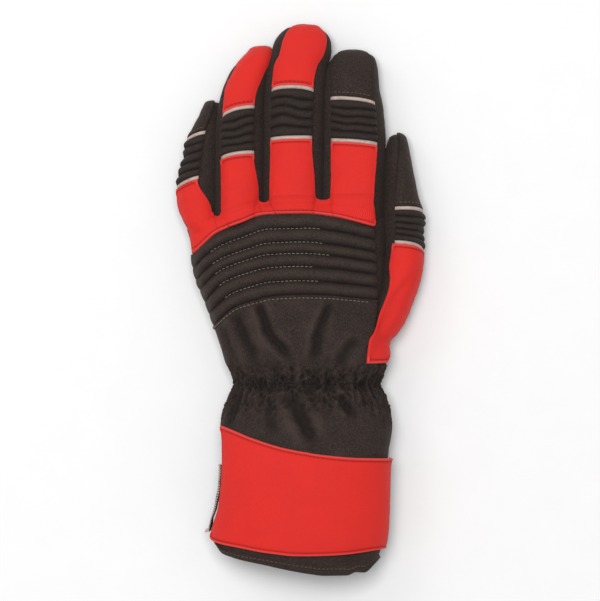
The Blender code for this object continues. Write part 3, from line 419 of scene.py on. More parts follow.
def wrist_y():
    """Y of the wrist."""
    return -ORIGIN_SHARE * sizes().hand_length


def digit_size(digit, what):
    """A digit's length, width or thickness."""
    return getattr(sizes(), f"{digit.name}_{what}")


def column(rows, name):
    """One named column of a table as an array."""
    return np.array([getattr(row, name) for row in rows], dtype=float)


def smooth(at, stations, values):
    """A curve through a table's values: a cubic between rows that never overshoots them.

    The slope at a row is the harmonic mean of the slopes beside it, or nothing where
    they differ in sign.
    """
    at = np.asarray(at, dtype=float)
    step = np.diff(stations)
    slope = np.diff(values) / step
    product = slope[:-1] * slope[1:]
    total = np.where(product > 0.0, slope[:-1] + slope[1:], 1.0)
    inner = np.where(product > 0.0, 2.0 * product / total, 0.0)
    tangent = np.concatenate([slope[:1], inner, slope[-1:]])
    place = np.clip(np.searchsorted(stations, at) - 1, 0, len(step) - 1)
    t = np.clip((at - stations[place]) / step[place], 0.0, 1.0)
    reach = step[place]
    return (values[place] * (1.0 + 2.0 * t) * (1.0 - t) ** 2
            + tangent[place] * reach * t * (1.0 - t) ** 2
            + values[place + 1] * t ** 2 * (3.0 - 2.0 * t)
            + tangent[place + 1] * reach * t ** 2 * (t - 1.0))


def ease(value):
    """From 0 to 1 as value goes from 0 to 1, level at both ends."""
    t = np.clip(value, 0.0, 1.0)
    return t * t * (3.0 - 2.0 * t)


def ripple(u, v, size, seed, waves=18):
    """Smooth noise from about -1 to 1: plane waves of random ways and phases, summed.

    Their lengths lie near the given size.
    """
    random = np.random.default_rng(seed)
    way = random.uniform(0.0, 2.0 * math.pi, waves)
    reach = size * random.uniform(0.7, 1.7, waves)
    start = random.uniform(0.0, 2.0 * math.pi, waves)
    total = np.zeros(np.broadcast(u, v).shape)
    for angle, wave, phase in zip(way, reach, start):
        total += np.cos(2.0 * math.pi * (u * math.cos(angle) + v * math.sin(angle)) / wave + phase)
    return total / math.sqrt(2.0 * waves)


def superellipse(turn, power):
    """A rounded unit section at the given turns: right edge at 0, top at a quarter."""
    cos, sin = np.cos(turn), np.sin(turn)
    across = np.sign(cos) * np.abs(cos) ** (2.0 / power)
    up = np.sign(sin) * np.abs(sin) ** (2.0 / power)
    return across, up


def turn_at(share, power):
    """The turn on a section's upper side that has the given share of the half width."""
    share = np.clip(share, -1.0, 1.0)
    return np.arccos(np.sign(share) * np.abs(share) ** (0.5 * power))


def section_points(section, y, turn, power, inset=0.0, closing=1.0, level=0.0):
    """Points of a loft: its section at Y, pulled in by an inset, bent flat at a level.

    closing shrinks the section to its middle, as a fingertip does.
    """
    centre, half, top = section
    pressed = sizes().pressed
    across, up = superellipse(turn, power)
    x = centre + np.maximum(half - inset, 0.0) * closing * across
    middle = 0.5 * (top - pressed)
    z = middle + np.maximum(0.5 * (top + pressed) - inset, 0.0) * closing * up
    above = z - level
    z = level + 0.5 * (above + np.sqrt(above * above + REST_BEND ** 2))
    return np.stack(np.broadcast_arrays(x, y, z), axis=-1)


def upper_height(share, top, power):
    """Height of a section's upper side, at a share of its half width from its middle."""
    rise = (1.0 - share ** power) ** (1.0 / power)
    return 0.5 * (top - sizes().pressed) + 0.5 * (top + sizes().pressed) * rise


def digit_root(digit):
    """X and Y of a digit's root."""
    return (digit.root_across * sizes().hand_width,
            wrist_y() + digit.root_along * sizes().hand_length)


def digit_section(digit, y):
    """Middle, half width and top of a digit at Y."""
    root_x, root_y = digit_root(digit)
    reach = digit_size(digit, "length")
    along = (np.asarray(y, dtype=float) - root_y) / reach
    stations = column(digit.slices, "along")
    centre = root_x + reach * smooth(along, stations, column(digit.slices, "centre"))
    half = 0.5 * digit_size(digit, "width") * smooth(along, stations, column(digit.slices, "width"))
    top = digit_size(digit, "thickness") * smooth(along, stations, column(digit.slices, "top"))
    return centre, half, top


def digit_points(digit, y, turn, inset=0.0, level=0.0):
    """Points of a digit: its section at Y, rounded off at the tip as a quarter ellipse."""
    _, root_y = digit_root(digit)
    along = (np.asarray(y, dtype=float) - root_y) / digit_size(digit, "length")
    past = np.clip((along - TIP_START) / (1.0 - TIP_START), 0.0, 1.0)
    closing = np.sqrt(np.maximum(1.0 - past * past, 0.0))
    return section_points(digit_section(digit, y), y, turn, DIGIT_POWER, inset, closing, level)


def wide_section(table, along, width, thickness):
    """Middle, half width and top by a table of sections, at a share along it."""
    stations = column(table, "along")
    left = width * smooth(along, stations, column(table, "left"))
    right = width * smooth(along, stations, column(table, "right"))
    top = thickness * smooth(along, stations, column(table, "top"))
    return 0.5 * (left + right), 0.5 * (right - left), top


def hand_section(y):
    """Middle, half width and top of the hand at Y."""
    along = (np.asarray(y, dtype=float) - wrist_y()) / sizes().hand_length
    return wide_section(HAND, along, sizes().hand_width, sizes().hand_thickness)


def cuff_section(y):
    """Middle, half width and top of the cuff and its hem at Y."""
    along = (wrist_y() - np.asarray(y, dtype=float)) / sizes().cuff_length
    return wide_section(CUFF, along, sizes().cuff_width, sizes().cuff_thickness)


def cuff_points(y, turn, inset=0.0, level=0.0):
    """Points of the cuff: its section at Y."""
    return section_points(cuff_section(y), y, turn, CUFF_POWER, inset, 1.0, level)


def knuckled(points):
    """The back with the fingers' own swell: a soft maximum of its height and theirs.

    Each finger's height fades out towards its sides and below its root.
    """
    x, y, z = points[..., 0], points[..., 1], points[..., 2]
    total = np.exp(z / KNUCKLE_BLEND)
    for digit in DIGITS[:4]:
        centre, half, top = digit_section(digit, y)
        share = np.clip(np.abs(x - centre) / half, 0.0, 1.0)
        height = upper_height(share, top, DIGIT_POWER)
        fade = ease((1.0 - share) / 0.4) * ease((y - digit_root(digit)[1] + 0.016) / 0.02)
        total += np.exp(height * fade / KNUCKLE_BLEND)
    lifted = points.copy()
    lifted[..., 2] = KNUCKLE_BLEND * np.log(total)
    return lifted


def hand_points(y, turn, inset=0.0, level=0.0):
    """Points of the hand: its section at Y."""
    return section_points(hand_section(y), y, turn, HAND_POWER, inset, 1.0, level)


def back_points(y, turn):
    """Points of the hand's back, lifted over the knuckles."""
    return knuckled(hand_points(y, turn))


def seam(points, shares, wrap_turn):
    """Turn and Y along a seam on the back, from its left end to its right.

    Shares below 0 carry it on round the left edge, level, down to wrap_turn at WRAP_SHARE.
    """
    spots = np.linspace(0.0, 1.0, len(points))
    inside = np.clip(shares, 0.0, 1.0)
    x = sizes().hand_width * smooth(inside, spots, column(points, "across"))
    y = wrist_y() + sizes().hand_length * smooth(inside, spots, column(points, "along"))
    centre, half, _ = hand_section(y)
    turn = turn_at((x - centre) / half, HAND_POWER)
    past = np.clip(shares / WRAP_SHARE, 0.0, 1.0)
    return turn + (wrap_turn - turn) * past, y


def fold_relief(points):
    """Depth of the folds: each a soft trough with low ridges beside it, tapered at its ends."""
    x, y = points[..., 0], points[..., 1]
    relief = np.zeros(x.shape)
    for number, fold in enumerate(FOLDS):
        start_x = fold.from_across * sizes().hand_width
        start_y = wrist_y() + fold.from_along * sizes().hand_length
        run_x = fold.to_across * sizes().hand_width - start_x
        run_y = wrist_y() + fold.to_along * sizes().hand_length - start_y
        reach = math.hypot(run_x, run_y)
        along = ((x - start_x) * run_x + (y - start_y) * run_y) / reach ** 2
        beside = ((x - start_x) * run_y - (y - start_y) * run_x) / reach
        beside = beside + 0.0013 * ripple(x, y, 0.03, 40 + number, 8) + 0.0004 * ripple(x, y, 0.006, 48)
        gap = beside / (sizes().fold_width * fold.width)
        taper = ease(along * 4.0 + 0.3) * ease((1.0 - along) * 2.5 + 0.2)
        shape = -np.exp(-gap ** 2) + 0.34 * np.exp(-(gap - 1.9) ** 2) + 0.22 * np.exp(-(gap + 1.9) ** 2)
        relief += fold.depth * sizes().fold_depth * taper * shape
    return relief


def gather_relief(y, turn):
    """Height of the wrist's gathers: sharp ridges along the arm that wander and merge.

    A ridge is one less the size of a cosine round the arm, whose phase wanders by
    noise. It is strongest at the elastic and fades faster towards the hand.
    """
    round_way = turn * 0.5 * sizes().cuff_width
    from_elastic = y - wrist_y()
    wander = 0.0032 * ripple(round_way, 0.6 * y, 0.022, 11) + 0.0012 * ripple(round_way, y, 0.007, 12)
    wide = 1.0 - np.abs(np.cos(math.pi * (round_way + wander) / 0.0105))
    wander = 0.0022 * ripple(round_way, 0.8 * y, 0.012, 13)
    fine = 1.0 - np.abs(np.cos(math.pi * (round_way + wander) / 0.0052 + 1.0))
    lumps = 0.5 + 0.5 * ripple(round_way, 1.4 * y, 0.011, 14)
    reach = np.where(from_elastic > 0.0, 0.0105, 0.0175)
    strength = np.exp(-np.abs(from_elastic / reach) ** 2.2)
    pinch = -0.6 * np.exp(-(from_elastic / 0.004) ** 2)
    crinkle = 0.4 - np.abs(ripple(round_way, 0.6 * y, 0.0036, 15))
    shape = (0.46 * wide ** 0.8 + 0.36 * fine * lumps - 0.52 + 0.2 * (lumps - 0.5) + pinch * 0.4
             + 0.95 * crinkle)
    return sizes().gather_depth * strength * shape


def worn(points, seed=20):
    """Slight unevenness of worn cloth, in metres: wide swells, smaller dents and grain."""
    u = points[..., 0] + 0.6 * points[..., 2]
    v = points[..., 1] - 0.4 * points[..., 2]
    wide = 0.00035 * ripple(u, v, 0.026, seed)
    dents = 0.00016 * ripple(u, v, 0.009, seed + 1)
    grain = 0.00006 * ripple(u, v, 0.0035, seed + 2)
    return wide + dents + grain


def rimmed(reach, step=STEP):
    """Distances across a panel of the given reaches: close at both edges, even between.

    reach is one length, or one for each column. The rows come first.
    """
    reach = np.atleast_1d(np.asarray(reach, dtype=float))
    inner = max(2, int(round((reach.max() - 2.0 * RIM[-1]) / step)))
    even = np.linspace(0.0, 1.0, inner + 1)[1:-1, None]
    start = RIM[:, None] + 0.0 * reach[None, :]
    middle = RIM[-1] + (reach - 2.0 * RIM[-1])[None, :] * even
    return np.concatenate([start, middle, reach[None, :] - start[::-1]])


def arc_lengths(points, axis):
    """Lengths along a grid of points, from its first row or column."""
    step = np.linalg.norm(np.diff(points, axis=axis), axis=-1)
    total = np.cumsum(step, axis=axis)
    first = np.zeros_like(np.take(total, [0], axis=axis))
    return np.concatenate([first, total], axis=axis)


def even_turns(fine, points):
    """Turns of a panel's columns, rimmed by length along the points of the fine turns."""
    run = arc_lengths(points, 0)
    return np.interp(rimmed(run[-1])[:, 0], run, fine)


def share_across(turns):
    """Each column's share of the way from its panel's left edge to its right."""
    return (turns - turns[0]) / (turns[-1] - turns[0])


def from_sides(count):
    """The number of each column, counted from the nearer side of its panel."""
    return np.minimum(np.arange(count), np.arange(count)[::-1])


def grid_normals(points, closed=False):
    """Unit normals of a grid: across by along. A closed grid goes round in its columns."""
    if closed:
        around = np.roll(points, -1, axis=1) - np.roll(points, 1, axis=1)
    else:
        around = np.gradient(points, axis=1)
    normals = np.cross(around, np.gradient(points, axis=0))
    return normals / np.maximum(np.linalg.norm(normals, axis=-1, keepdims=True), 1e-12)


def grid_quads(rows, columns, closed=False):
    """Corner numbers of a grid's quads. A closed grid joins its last column to its first."""
    row, place = np.meshgrid(np.arange(rows - 1), np.arange(columns if closed else columns - 1),
                             indexing="ij")
    after = (place + 1) % columns
    corners = (row * columns + place, row * columns + after,
               (row + 1) * columns + after, (row + 1) * columns + place)
    return np.stack(corners, axis=-1)


def new_piece(name, points, faces, material, uv=None, shade=None):
    """An object of the given points and arrays of faces, smooth.

    shade goes from 0 at each point where shade is painted into a groove to 1 where a highlight is painted
    on a ridge.
    """
    mesh = bpy.data.meshes.new(name)
    corners = np.concatenate([part.ravel() for part in faces]).astype(np.int32)
    counts = np.concatenate([np.full(len(part), part.shape[1]) for part in faces])
    starts = np.concatenate([[0], np.cumsum(counts)[:-1]]).astype(np.int32)
    mesh.vertices.add(len(points))
    mesh.vertices.foreach_set("co", np.ascontiguousarray(points, dtype=np.float32).ravel())
    mesh.loops.add(len(corners))
    mesh.loops.foreach_set("vertex_index", corners)
    mesh.polygons.add(len(starts))
    mesh.polygons.foreach_set("loop_start", starts)
    if uv is not None:
        layer = mesh.uv_layers.new(name="cloth")
        layer.data.foreach_set("uv", uv[corners].astype(np.float32).ravel())
    tone = np.full(len(points), 0.5) if shade is None else np.asarray(shade).ravel()
    # The shade attribute carries painted shade and painted highlights into the cloth's colour.
    attribute = mesh.attributes.new("shade", "FLOAT", "POINT")
    attribute.data.foreach_set("value", np.clip(tone, 0.0, 1.0).astype(np.float32))
    mesh.update(calc_edges=True)
    if mesh.validate():
        raise RuntimeError(f"{name} has broken faces")
    mesh.shade_smooth()
    mesh.materials.append(material)
    piece = bpy.data.objects.new(name, mesh)
    bpy.context.scene.collection.objects.link(piece)
    return piece


def edge_distance(points, edge):
    """Distance in metres from each point to the nearest point of an edge."""
    flat = points.reshape(-1, 3)
    parts = np.array_split(flat, max(1, len(flat) // 4000))
    near = [np.sqrt(((part[:, None, :] - edge[None, :, :]) ** 2).sum(axis=-1).min(axis=1))
            for part in parts]
    return np.concatenate(near).reshape(points.shape[:-1])


def rim_profile(distance, thickness, sewn=1.0):
    """Thickness of a hemmed panel by the distance from its edge.

    It rolls up to full thickness as a quarter circle, swells a little over the turned
    edge, and dips along the stitches. sewn, from 0 to 1, fades these two in.
    """
    roll = np.sqrt(1.0 - (1.0 - np.clip(distance / 0.0009, 0.0, 1.0)) ** 2)
    swell = 0.55 * np.exp(-((distance - 0.0011) / 0.0007) ** 2)
    dip = 0.38 * np.exp(-((distance - RIM[-1]) / 0.00045) ** 2)
    return thickness * (0.2 + 0.8 * roll + sewn * (swell - dip))


def rim_shade(distance, sewn=1.0):
    """Tone of a red panel's rim: a painted highlight on the turned edge, painted shade in the dip along
    the stitches.
    """
    # The first term is the painted highlight on the rolled edge, the second the painted shade along the
    # stitches.
    painted_highlight = 0.34 * np.exp(-((distance - 0.0007) / 0.0009) ** 2)
    return 0.5 + sewn * (painted_highlight - 0.42 * np.exp(-((distance - RIM[-1]) / 0.00055) ** 2))


def sewn_near(ends):
    """Share of a sewn rim by the distance to the panel's sewn ends: faint beyond 5 mm."""
    return 0.15 + 0.85 * (1.0 - ease((ends - 0.0026) / 0.0022))


def boundary(quads):
    """Edges that only one of the quads has, as pairs of corner numbers in its own order."""
    starts = quads.ravel()
    ends = np.roll(quads, -1, axis=1).ravel()
    count = int(quads.max()) + 1
    alone = ~np.isin(starts * count + ends, ends * count + starts)
    return starts[alone], ends[alone]


def lay_sheet(name, base, material, height, keep=None, lift=0.0, shade=None):
    """A closed sheet on a grid of base points, height above them along their normals.

    Its underside lies lift above the base, and a strip joins both round every edge.
    Returns the piece, the upper points and the normals.
    """
    rows, columns = base.shape[:2]
    quads = grid_quads(rows, columns)
    quads = quads.reshape(-1, 4) if keep is None else quads[keep]
    normals = grid_normals(base)
    lift = np.broadcast_to(lift, (rows, columns))
    lower = base + normals * lift[..., None]
    upper = lower + normals * height[..., None]
    start, end = boundary(quads)
    count = rows * columns
    sides = np.stack([start, end, end + count, start + count], axis=-1)
    faces = np.concatenate([quads + count, quads[:, ::-1], sides])
    used, places = np.unique(faces, return_inverse=True)
    points = np.concatenate([lower.reshape(-1, 3), upper.reshape(-1, 3)])[used]
    across = arc_lengths(base, 1)
    along = arc_lengths(base, 0)
    uv = np.stack([across - across.mean(), along], axis=-1).reshape(-1, 2)
    uv = np.concatenate([uv, uv])[used]
    tone = np.broadcast_to(0.5 if shade is None else shade, (rows, columns))
    tone = np.concatenate([tone.ravel(), tone.ravel()])[used]
    piece = new_piece(name, points, [places.reshape(faces.shape)], material, uv, tone)
    return piece, upper, normals


def edge_points(base, keep=None):
    """The points on the edge of a grid, or of the part of it that is kept."""
    quads = grid_quads(*base.shape[:2])
    quads = quads.reshape(-1, 4) if keep is None else quads[keep]
    return base.reshape(-1, 3)[np.unique(boundary(quads)[0])]


def hemmed_panel(name, base, ends, thickness, lift, material, keep=None, crease=0.0):
    """A red panel with a rolled and stitched rim, by the distances to its sewn ends.

    crease is the depth of its creases, into which shade is painted. Returns what lay_sheet does.
    """
    edge = edge_distance(base, edge_points(base, keep))
    sewn = sewn_near(ends)
    height = rim_profile(edge, thickness, sewn)
    # Shade is painted along the rim's stitches and into the creases, and a highlight on the rolled edge.
    shade = rim_shade(edge, sewn) - CREASE_SHADE * crease
    return lay_sheet(name, base, material, height, keep, lift=lift, shade=shade)


def loft(name, rings, material, ring_closed=False, shade=None):
    """A closed surface through rings of equal counts.

    ring_closed joins the last ring to the first, and otherwise a fan of triangles
    closes each end.
    """
    count, sides = rings.shape[:2]
    points = rings.reshape(-1, 3)
    if ring_closed:
        quads = grid_quads(count + 1, sides, closed=True).reshape(-1, 4) % (count * sides)
        return new_piece(name, points, [quads], material, shade=shade)
    quads = grid_quads(count, sides, closed=True).reshape(-1, 4)
    place = np.arange(sides)
    after = (place + 1) % sides
    last = (count - 1) * sides
    first_fan = np.stack([after, place, np.full(sides, count * sides)], axis=-1)
    last_fan = np.stack([last + place, last + after, np.full(sides, count * sides + 1)], axis=-1)
    centres = np.stack([rings[0].mean(axis=0), rings[-1].mean(axis=0)])
    points = np.concatenate([points, centres])
    if shade is not None:
        shade = np.concatenate([shade.ravel(), [0.5, 0.5]])
    return new_piece(name, points, [quads, first_fan, last_fan], material, shade=shade)


def stitch_form():
    """A short thread on its side: points along it from -1 to 1 and faces, closed."""
    along = np.array([-1.0, -0.82, -0.35, 0.35, 0.82, 1.0])
    full = np.array([0.35, 0.85, 1.0, 1.0, 0.85, 0.35])
    turn = np.linspace(0.0, 2.0 * math.pi, 6, endpoint=False)
    grid = np.stack(np.broadcast_arrays(along[:, None], full[:, None] * np.cos(turn),
                                        full[:, None] * np.sin(turn)), axis=-1)
    quads = grid_quads(6, 6, closed=True).reshape(-1, 4)
    caps = np.array([np.arange(5, -1, -1), np.arange(30, 36)])
    return grid.reshape(-1, 3), quads, caps


def stitches(name, lines, material, pitch=None, reach=None, radius=None):
    """Threads along lines of points and normals, one every pitch, as one piece.

    Each is a copy of one form, turned to its line and standing on the cloth's normal,
    with its ends dipped into the cloth.
    """
    pitch = pitch or sizes().stitch_pitch
    reach = reach or sizes().stitch_length
    radius = radius or sizes().thread
    places, ways, ups = [], [], []
    for points, normals in lines:
        run = arc_lengths(points, 0)
        middle = np.arange(0.5 * pitch, run[-1], pitch)
        spots = [np.stack([np.interp(at, run, points[:, axis]) for axis in range(3)], axis=-1)
                 for at in (middle - 0.5 * reach, middle, middle + 0.5 * reach)]
        places.append(spots[1])
        ways.append(spots[2] - spots[0])
        ups.append(np.stack([np.interp(middle, run, normals[:, axis]) for axis in range(3)], axis=-1))
    place, way, up = (np.concatenate(part) for part in (places, ways, ups))
    way /= np.linalg.norm(way, axis=1, keepdims=True)
    side = np.cross(up, way)
    side /= np.linalg.norm(side, axis=1, keepdims=True)
    up = np.cross(way, side)
    form, quads, caps = stitch_form()
    dip = 0.6 * form[:, 0] ** 4 * radius
    points = (place[:, None, :] + 0.5 * reach * form[None, :, :1] * way[:, None, :]
              + radius * form[None, :, 1:2] * side[:, None, :]
              + (radius * form[:, 2] - dip)[None, :, None] * up[:, None, :])
    offset = (np.arange(len(place)) * len(form))[:, None, None]
    faces = [(quads[None] + offset).reshape(-1, 4), (caps[None] + offset).reshape(-1, 6)]
    return new_piece(name, points.reshape(-1, 3), faces, material)


def dress(piece, slot, *nodes):
    """The piece rides on the glove and stands for CAD nodes, which it hides. slot is not used."""
    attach(piece, "root")
    if nodes:
        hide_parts(*nodes)


def row_line(upper, normals, row, columns=slice(STITCH_ROW, -STITCH_ROW)):
    """A line for stitches along one row of a panel: its points and normals."""
    return upper[row, columns], normals[row, columns]


def girth(width, thickness):
    """Length round a section of this width and thickness, as round an ellipse."""
    return math.pi * (width + thickness) * 0.5


def declare_sheet(base, keep=None):
    """Work out a laid sheet's own measured width, length and area, which are then not used."""
    across = arc_lengths(base, 1)
    along = arc_lengths(base, 0)
    middle = base[:-1, :-1]
    cells = np.linalg.norm(np.cross(base[:-1, 1:] - middle, base[1:, :-1] - middle), axis=-1)
    area = float(cells.sum() if keep is None else cells[keep].sum())
    width = float(across[:, -1].max())
    reach = float(along[-1].max())
    area = min(max(area, 0.31 * width * reach), width * reach)


def arm_points(y, turn, inset=0.0, level=0.0):
    """Points of the hand above the wrist and of the cuff below it, joined smoothly."""
    share = ease((wrist_y() - np.asarray(y, dtype=float)) / 0.010 + 0.5)[..., None]
    hand = hand_points(y, turn, inset, level)
    cuff = cuff_points(y, turn, inset, level)
    return hand + (cuff - hand) * share


def arm_relief(points, turn):
    """Folds and gathers of the back and the cuff, the folds on the upper side alone."""
    upper = ease(2.0 * np.sin(turn))
    return (gather_relief(points[..., 1], turn) + upper * fold_relief(points)
            + worn(points))


def relief_shade(relief):
    """Tone of creased cloth: painted shade in its valleys and a painted highlight on its ridges."""
    return 0.5 + np.clip(relief / 0.0060, -0.30, 0.24)


def front_y(x):
    """Y of the hand's front edge between the fingers."""
    spots = sizes().hand_width * column(FRONT, "across")
    return wrist_y() + sizes().hand_length * smooth(x, spots, column(FRONT, "along"))


def quarter(count):
    """Places along a rounded end and how far it has closed, from its tip to its start."""
    turn = np.linspace(0.5 * math.pi - 0.03, 0.0, count)
    return np.sin(turn), np.cos(turn)


def hand_shell(material):
    """The hand as a cup: outside from its rounded front to the wrist, then back inside."""
    turn = np.linspace(0.0, 2.0 * math.pi, 216, endpoint=False)
    path = []
    for inset, rows, rounding in ((sizes().shell_inset, 104, 0.009),
                                  (sizes().shell_inset + sizes().wall, 30, 0.007)):
        outside = inset == sizes().shell_inset
        reach, closing = quarter(14 if outside else 8)
        closing = np.concatenate([closing, np.ones(rows)])
        back = np.concatenate([rounding * (1.0 - reach), np.full(rows, rounding)])
        share = np.concatenate([np.ones(len(reach)), np.linspace(1.0, 0.0, rows + 1)[1:]])
        level = 0.0 if outside else sizes().wall
        nominal = wrist_y() + share * ROOT_SHARE * sizes().hand_length
        centre, half, _ = hand_section(nominal)
        x = centre[:, None] + (half * closing)[:, None] * superellipse(turn, HAND_POWER)[0]
        ahead = front_y(x) - inset - back[:, None]
        y = wrist_y() + share[:, None] * (ahead - wrist_y())
        points = section_points(hand_section(y), y, turn, HAND_POWER, inset,
                                closing[:, None], level)
        relief = arm_relief(points, turn) if outside else gather_relief(y, turn)
        points += grid_normals(points, closed=True) * (relief * closing[:, None] ** 2)[..., None]
        points[..., 2] = np.maximum(points[..., 2], GROUND + level)
        path.append(points if outside else points[::-1])
    return loft("hand_shell", np.concatenate(path), material)


def digit_wear(points):
    """Unevenness of a digit's cloth, the same on its shell and on the pieces over it."""
    return 0.7 * worn(points, 60)


def fourchettes(digit, points, turn):
    """Swell of the strips between two fingers, which press on each other there."""
    swell = np.zeros(points.shape[:-1])
    for names, middle in ((("little", "ring", "middle"), 24.0), (("ring", "middle", "index"), 156.0),
                          (("thumb",), 172.0)):
        if digit.name in names:
            swell += np.exp(-((turn - math.radians(middle)) / 0.42) ** 2)
    along = (points[..., 1] - digit_root(digit)[1]) / digit_size(digit, "length")
    return 0.0020 * swell * ease((1.0 - along) / 0.15)


def digit_shell(digit, material):
    """A digit as a cup: outside from its tip to its root in the hand, then back inside."""
    turn = np.linspace(0.0, 2.0 * math.pi, 96, endpoint=False)
    _, root_y = digit_root(digit)
    reach = digit_size(digit, "length")
    inset = sizes().shell_inset
    tuck = 0.011
    reached, _ = quarter(TIP_ROWS)
    tip = root_y + reach * (TIP_START + (1.0 - TIP_START) * reached)
    rows = np.arange(tip[-1] - 0.001, root_y, -0.0011)
    roots = np.linspace(root_y, root_y - tuck, 7)
    y = np.concatenate([tip, rows, roots])[:, None]
    outer = digit_points(digit, y, turn, inset)
    relief = digit_wear(outer) + fourchettes(digit, outer, turn)
    outer += grid_normals(outer, closed=True) * relief[..., None]
    outer[..., 2] = np.maximum(outer[..., 2], GROUND)
    inner_y = np.concatenate([roots[::-1], np.linspace(root_y, root_y + reach - 0.004, 24)[1:]])
    ended, closing = quarter(6)
    end_y = root_y + reach - 0.004 + 0.0025 * ended[::-1]
    inner_y = np.concatenate([inner_y, end_y])[:, None]
    closing = np.concatenate([np.ones(len(inner_y) - 6), closing[::-1]])[:, None]
    inner = section_points(digit_section(digit, inner_y), inner_y, turn, DIGIT_POWER,
                           inset + sizes().wall, closing, sizes().wall)
    for rings in (outer, inner):
        below = ease((root_y - rings[..., 1]) / tuck)[..., None]
        middle = rings.mean(axis=1, keepdims=True)
        flat = np.array([1.0, 0.0, 1.0])
        rings += (middle - rings) * flat * 0.4 * below
    return loft(f"{digit.name}_shell", np.concatenate([outer, inner]), material)


def digit_turns(digit, y, left=None, right=None):
    """Turns of a digit panel's columns, spaced by length across it at Y, rimmed."""
    left = math.radians(digit.left if left is None else left)
    right = math.radians(digit.right if right is None else right)
    fine = np.linspace(left, right, 200)
    return even_turns(fine, digit_points(digit, np.full_like(fine, y), fine))


def spread_turns(digit, turns, share, first, last):
    """A panel's turns, from one pair of edges to another as share goes from 0 to 1.

    first and last name the pairs: those at the joint, the crotch or the tip.
    """
    edges = []
    for side in ("left", "right"):
        low = getattr(digit, first + side)
        high = getattr(digit, last + side)
        edges.append(np.radians(low + (high - low) * ease(share)))
    return edges[0] + (edges[1] - edges[0]) * share_across(turns)


def seam_line(digit, turns, which):
    """Y of the middle of a digit's lower or upper piping at each column.

    It runs straight in turn from its left end to its right, bowed towards the tip.
    """
    first = getattr(digit, which + "_left")
    last = getattr(digit, which + "_right")
    share = share_across(turns)
    bow = getattr(digit, which + "_bow")
    along = first + (last - first) * share + bow * (1.0 - (2.0 * share - 1.0) ** 2)
    return digit_root(digit)[1] + digit_size(digit, "length") * along


def piping(digit, which, turns, material):
    """A half-round strip: a half ellipse across its width, tucked in at both ends."""
    middle = seam_line(digit, turns, which)
    half = 0.5 * sizes().piping_width
    place = np.sin(np.linspace(-0.5 * math.pi, 0.5 * math.pi, 11))
    y = middle[None, :] + half * place[:, None]
    base = digit_points(digit, y, np.broadcast_to(turns, y.shape))
    crown = np.sqrt(np.maximum(1.0 - place ** 2, 0.0))[:, None]
    ends = ease(from_sides(len(turns)) / 5.0)[None, :]
    height = 0.0003 + sizes().piping_height * crown * (0.35 + 0.55 * ends)
    height = height * (1.0 + 0.05 * ripple(base[..., 0], base[..., 1], 0.006, 81))
    piece, _, _ = lay_sheet(f"{digit.name}_{which}_piping_strip", base, material, height,
                            lift=digit_wear(base) - 0.0001)
    dress(piece, "grey_piping", f"{digit.name}_{which}_piping")


def flex_insert(digit, turns, material):
    """The ribbed stretch cloth over a joint: round ribs that wander, with deep grooves."""
    gap = UNDER_PIPING * sizes().piping_width
    lower = seam_line(digit, turns, "lower") + gap
    upper = seam_line(digit, turns, "upper") - gap
    share = np.linspace(0.0, 1.0, FLEX_RIB_ROWS * FLEX_RIBS + 1)[:, None]
    y = lower[None, :] + (upper - lower)[None, :] * share
    base = digit_points(digit, y, np.broadcast_to(turns, y.shape))
    seed = 90 + DIGITS.index(digit)
    wander = 0.24 * ripple(base[..., 0], 0.4 * base[..., 1], 0.016, seed)
    place = np.mod(share * FLEX_RIBS + wander * np.sin(math.pi * share), 1.0)
    rib = np.maximum(1.0 - np.abs(2.0 * place - 1.0) ** 2.2, 0.0) ** 0.7
    uneven = 1.0 + 0.25 * ripple(base[..., 0], base[..., 1], 0.008, 95)
    sides = from_sides(len(turns))
    height = 0.0004 + sizes().flex_rib_height * rib * uneven * (0.4 + 0.6 * ease(sides / 5.0))
    # Painted shade darkens the grooves between the ribs, and a slight painted highlight lightens their
    # tops.
    piece, _, _ = lay_sheet(f"{digit.name}_flex_cloth", base, material, height,
                            lift=digit_wear(base), shade=0.04 + 0.52 * rib ** 0.8)
    dress(piece, "stretch_cloth", f"{digit.name}_flex")
    declare_sheet(base)


def tip_panel(digit, turns, materials):
    """The panel over a fingertip, from its upper piping round to the very tip."""
    _, root_y = digit_root(digit)
    reach = digit_size(digit, "length")
    start = seam_line(digit, turns, "upper") + UNDER_PIPING * sizes().piping_width
    end = root_y + reach * TIP_START
    rows = rimmed(end - start)[:-STITCH_ROW]
    reached, _ = quarter(TIP_ROWS)
    tips = root_y + reach * (TIP_START + (1.0 - TIP_START) * reached[::-1])
    y = np.concatenate([start + rows, np.broadcast_to(tips[:, None], (TIP_ROWS, len(turns)))])
    turn = spread_turns(digit, turns, (y - start) / (end - start), "", "tip_")
    base = digit_points(digit, y, turn)
    material = materials["red"] if digit.tip_red else materials["black"]
    edge = edge_distance(base, edge_points(base))
    sewn = sewn_near(y - start)
    height = rim_profile(edge, 0.8 * sizes().panel_thickness, sewn)
    # A red tip takes its rim's painted highlight and shade; a black tip has painted shade darkening it
    # towards its edge.
    shade = rim_shade(edge, sewn) if digit.tip_red else 0.5 - 0.25 * np.exp(-(edge / 0.0012) ** 2)
    piece, upper, normals = lay_sheet(f"{digit.name}_tip_cloth", base, material, height,
                                      lift=0.0002 + digit_wear(base), shade=shade)
    slot = "red_cloth" if digit.tip_red else "black_cloth"
    dress(piece, slot, f"{digit.name}_tip_panel")
    declare_sheet(base)
    row = STITCH_ROW + 1
    lines = [row_line(upper, normals, row, slice(row, -row))]
    thread = materials["red_thread"] if digit.tip_red else materials["brown_thread"]
    return stitches(f"{digit.name}_tip_stitches", lines, thread)


def knuckle_points(digit, turn, back_turn, y, crotch):
    """Points of the knuckle panel over a finger: the back's, then the finger's own.

    One passes into the other by an eased share along Y, near the crotch's.
    """
    share = ease((y - crotch + 0.018) / 0.030)[..., None]
    back = back_points(y, back_turn)
    own = digit_points(digit, y, turn)
    return back + (own - back) * share


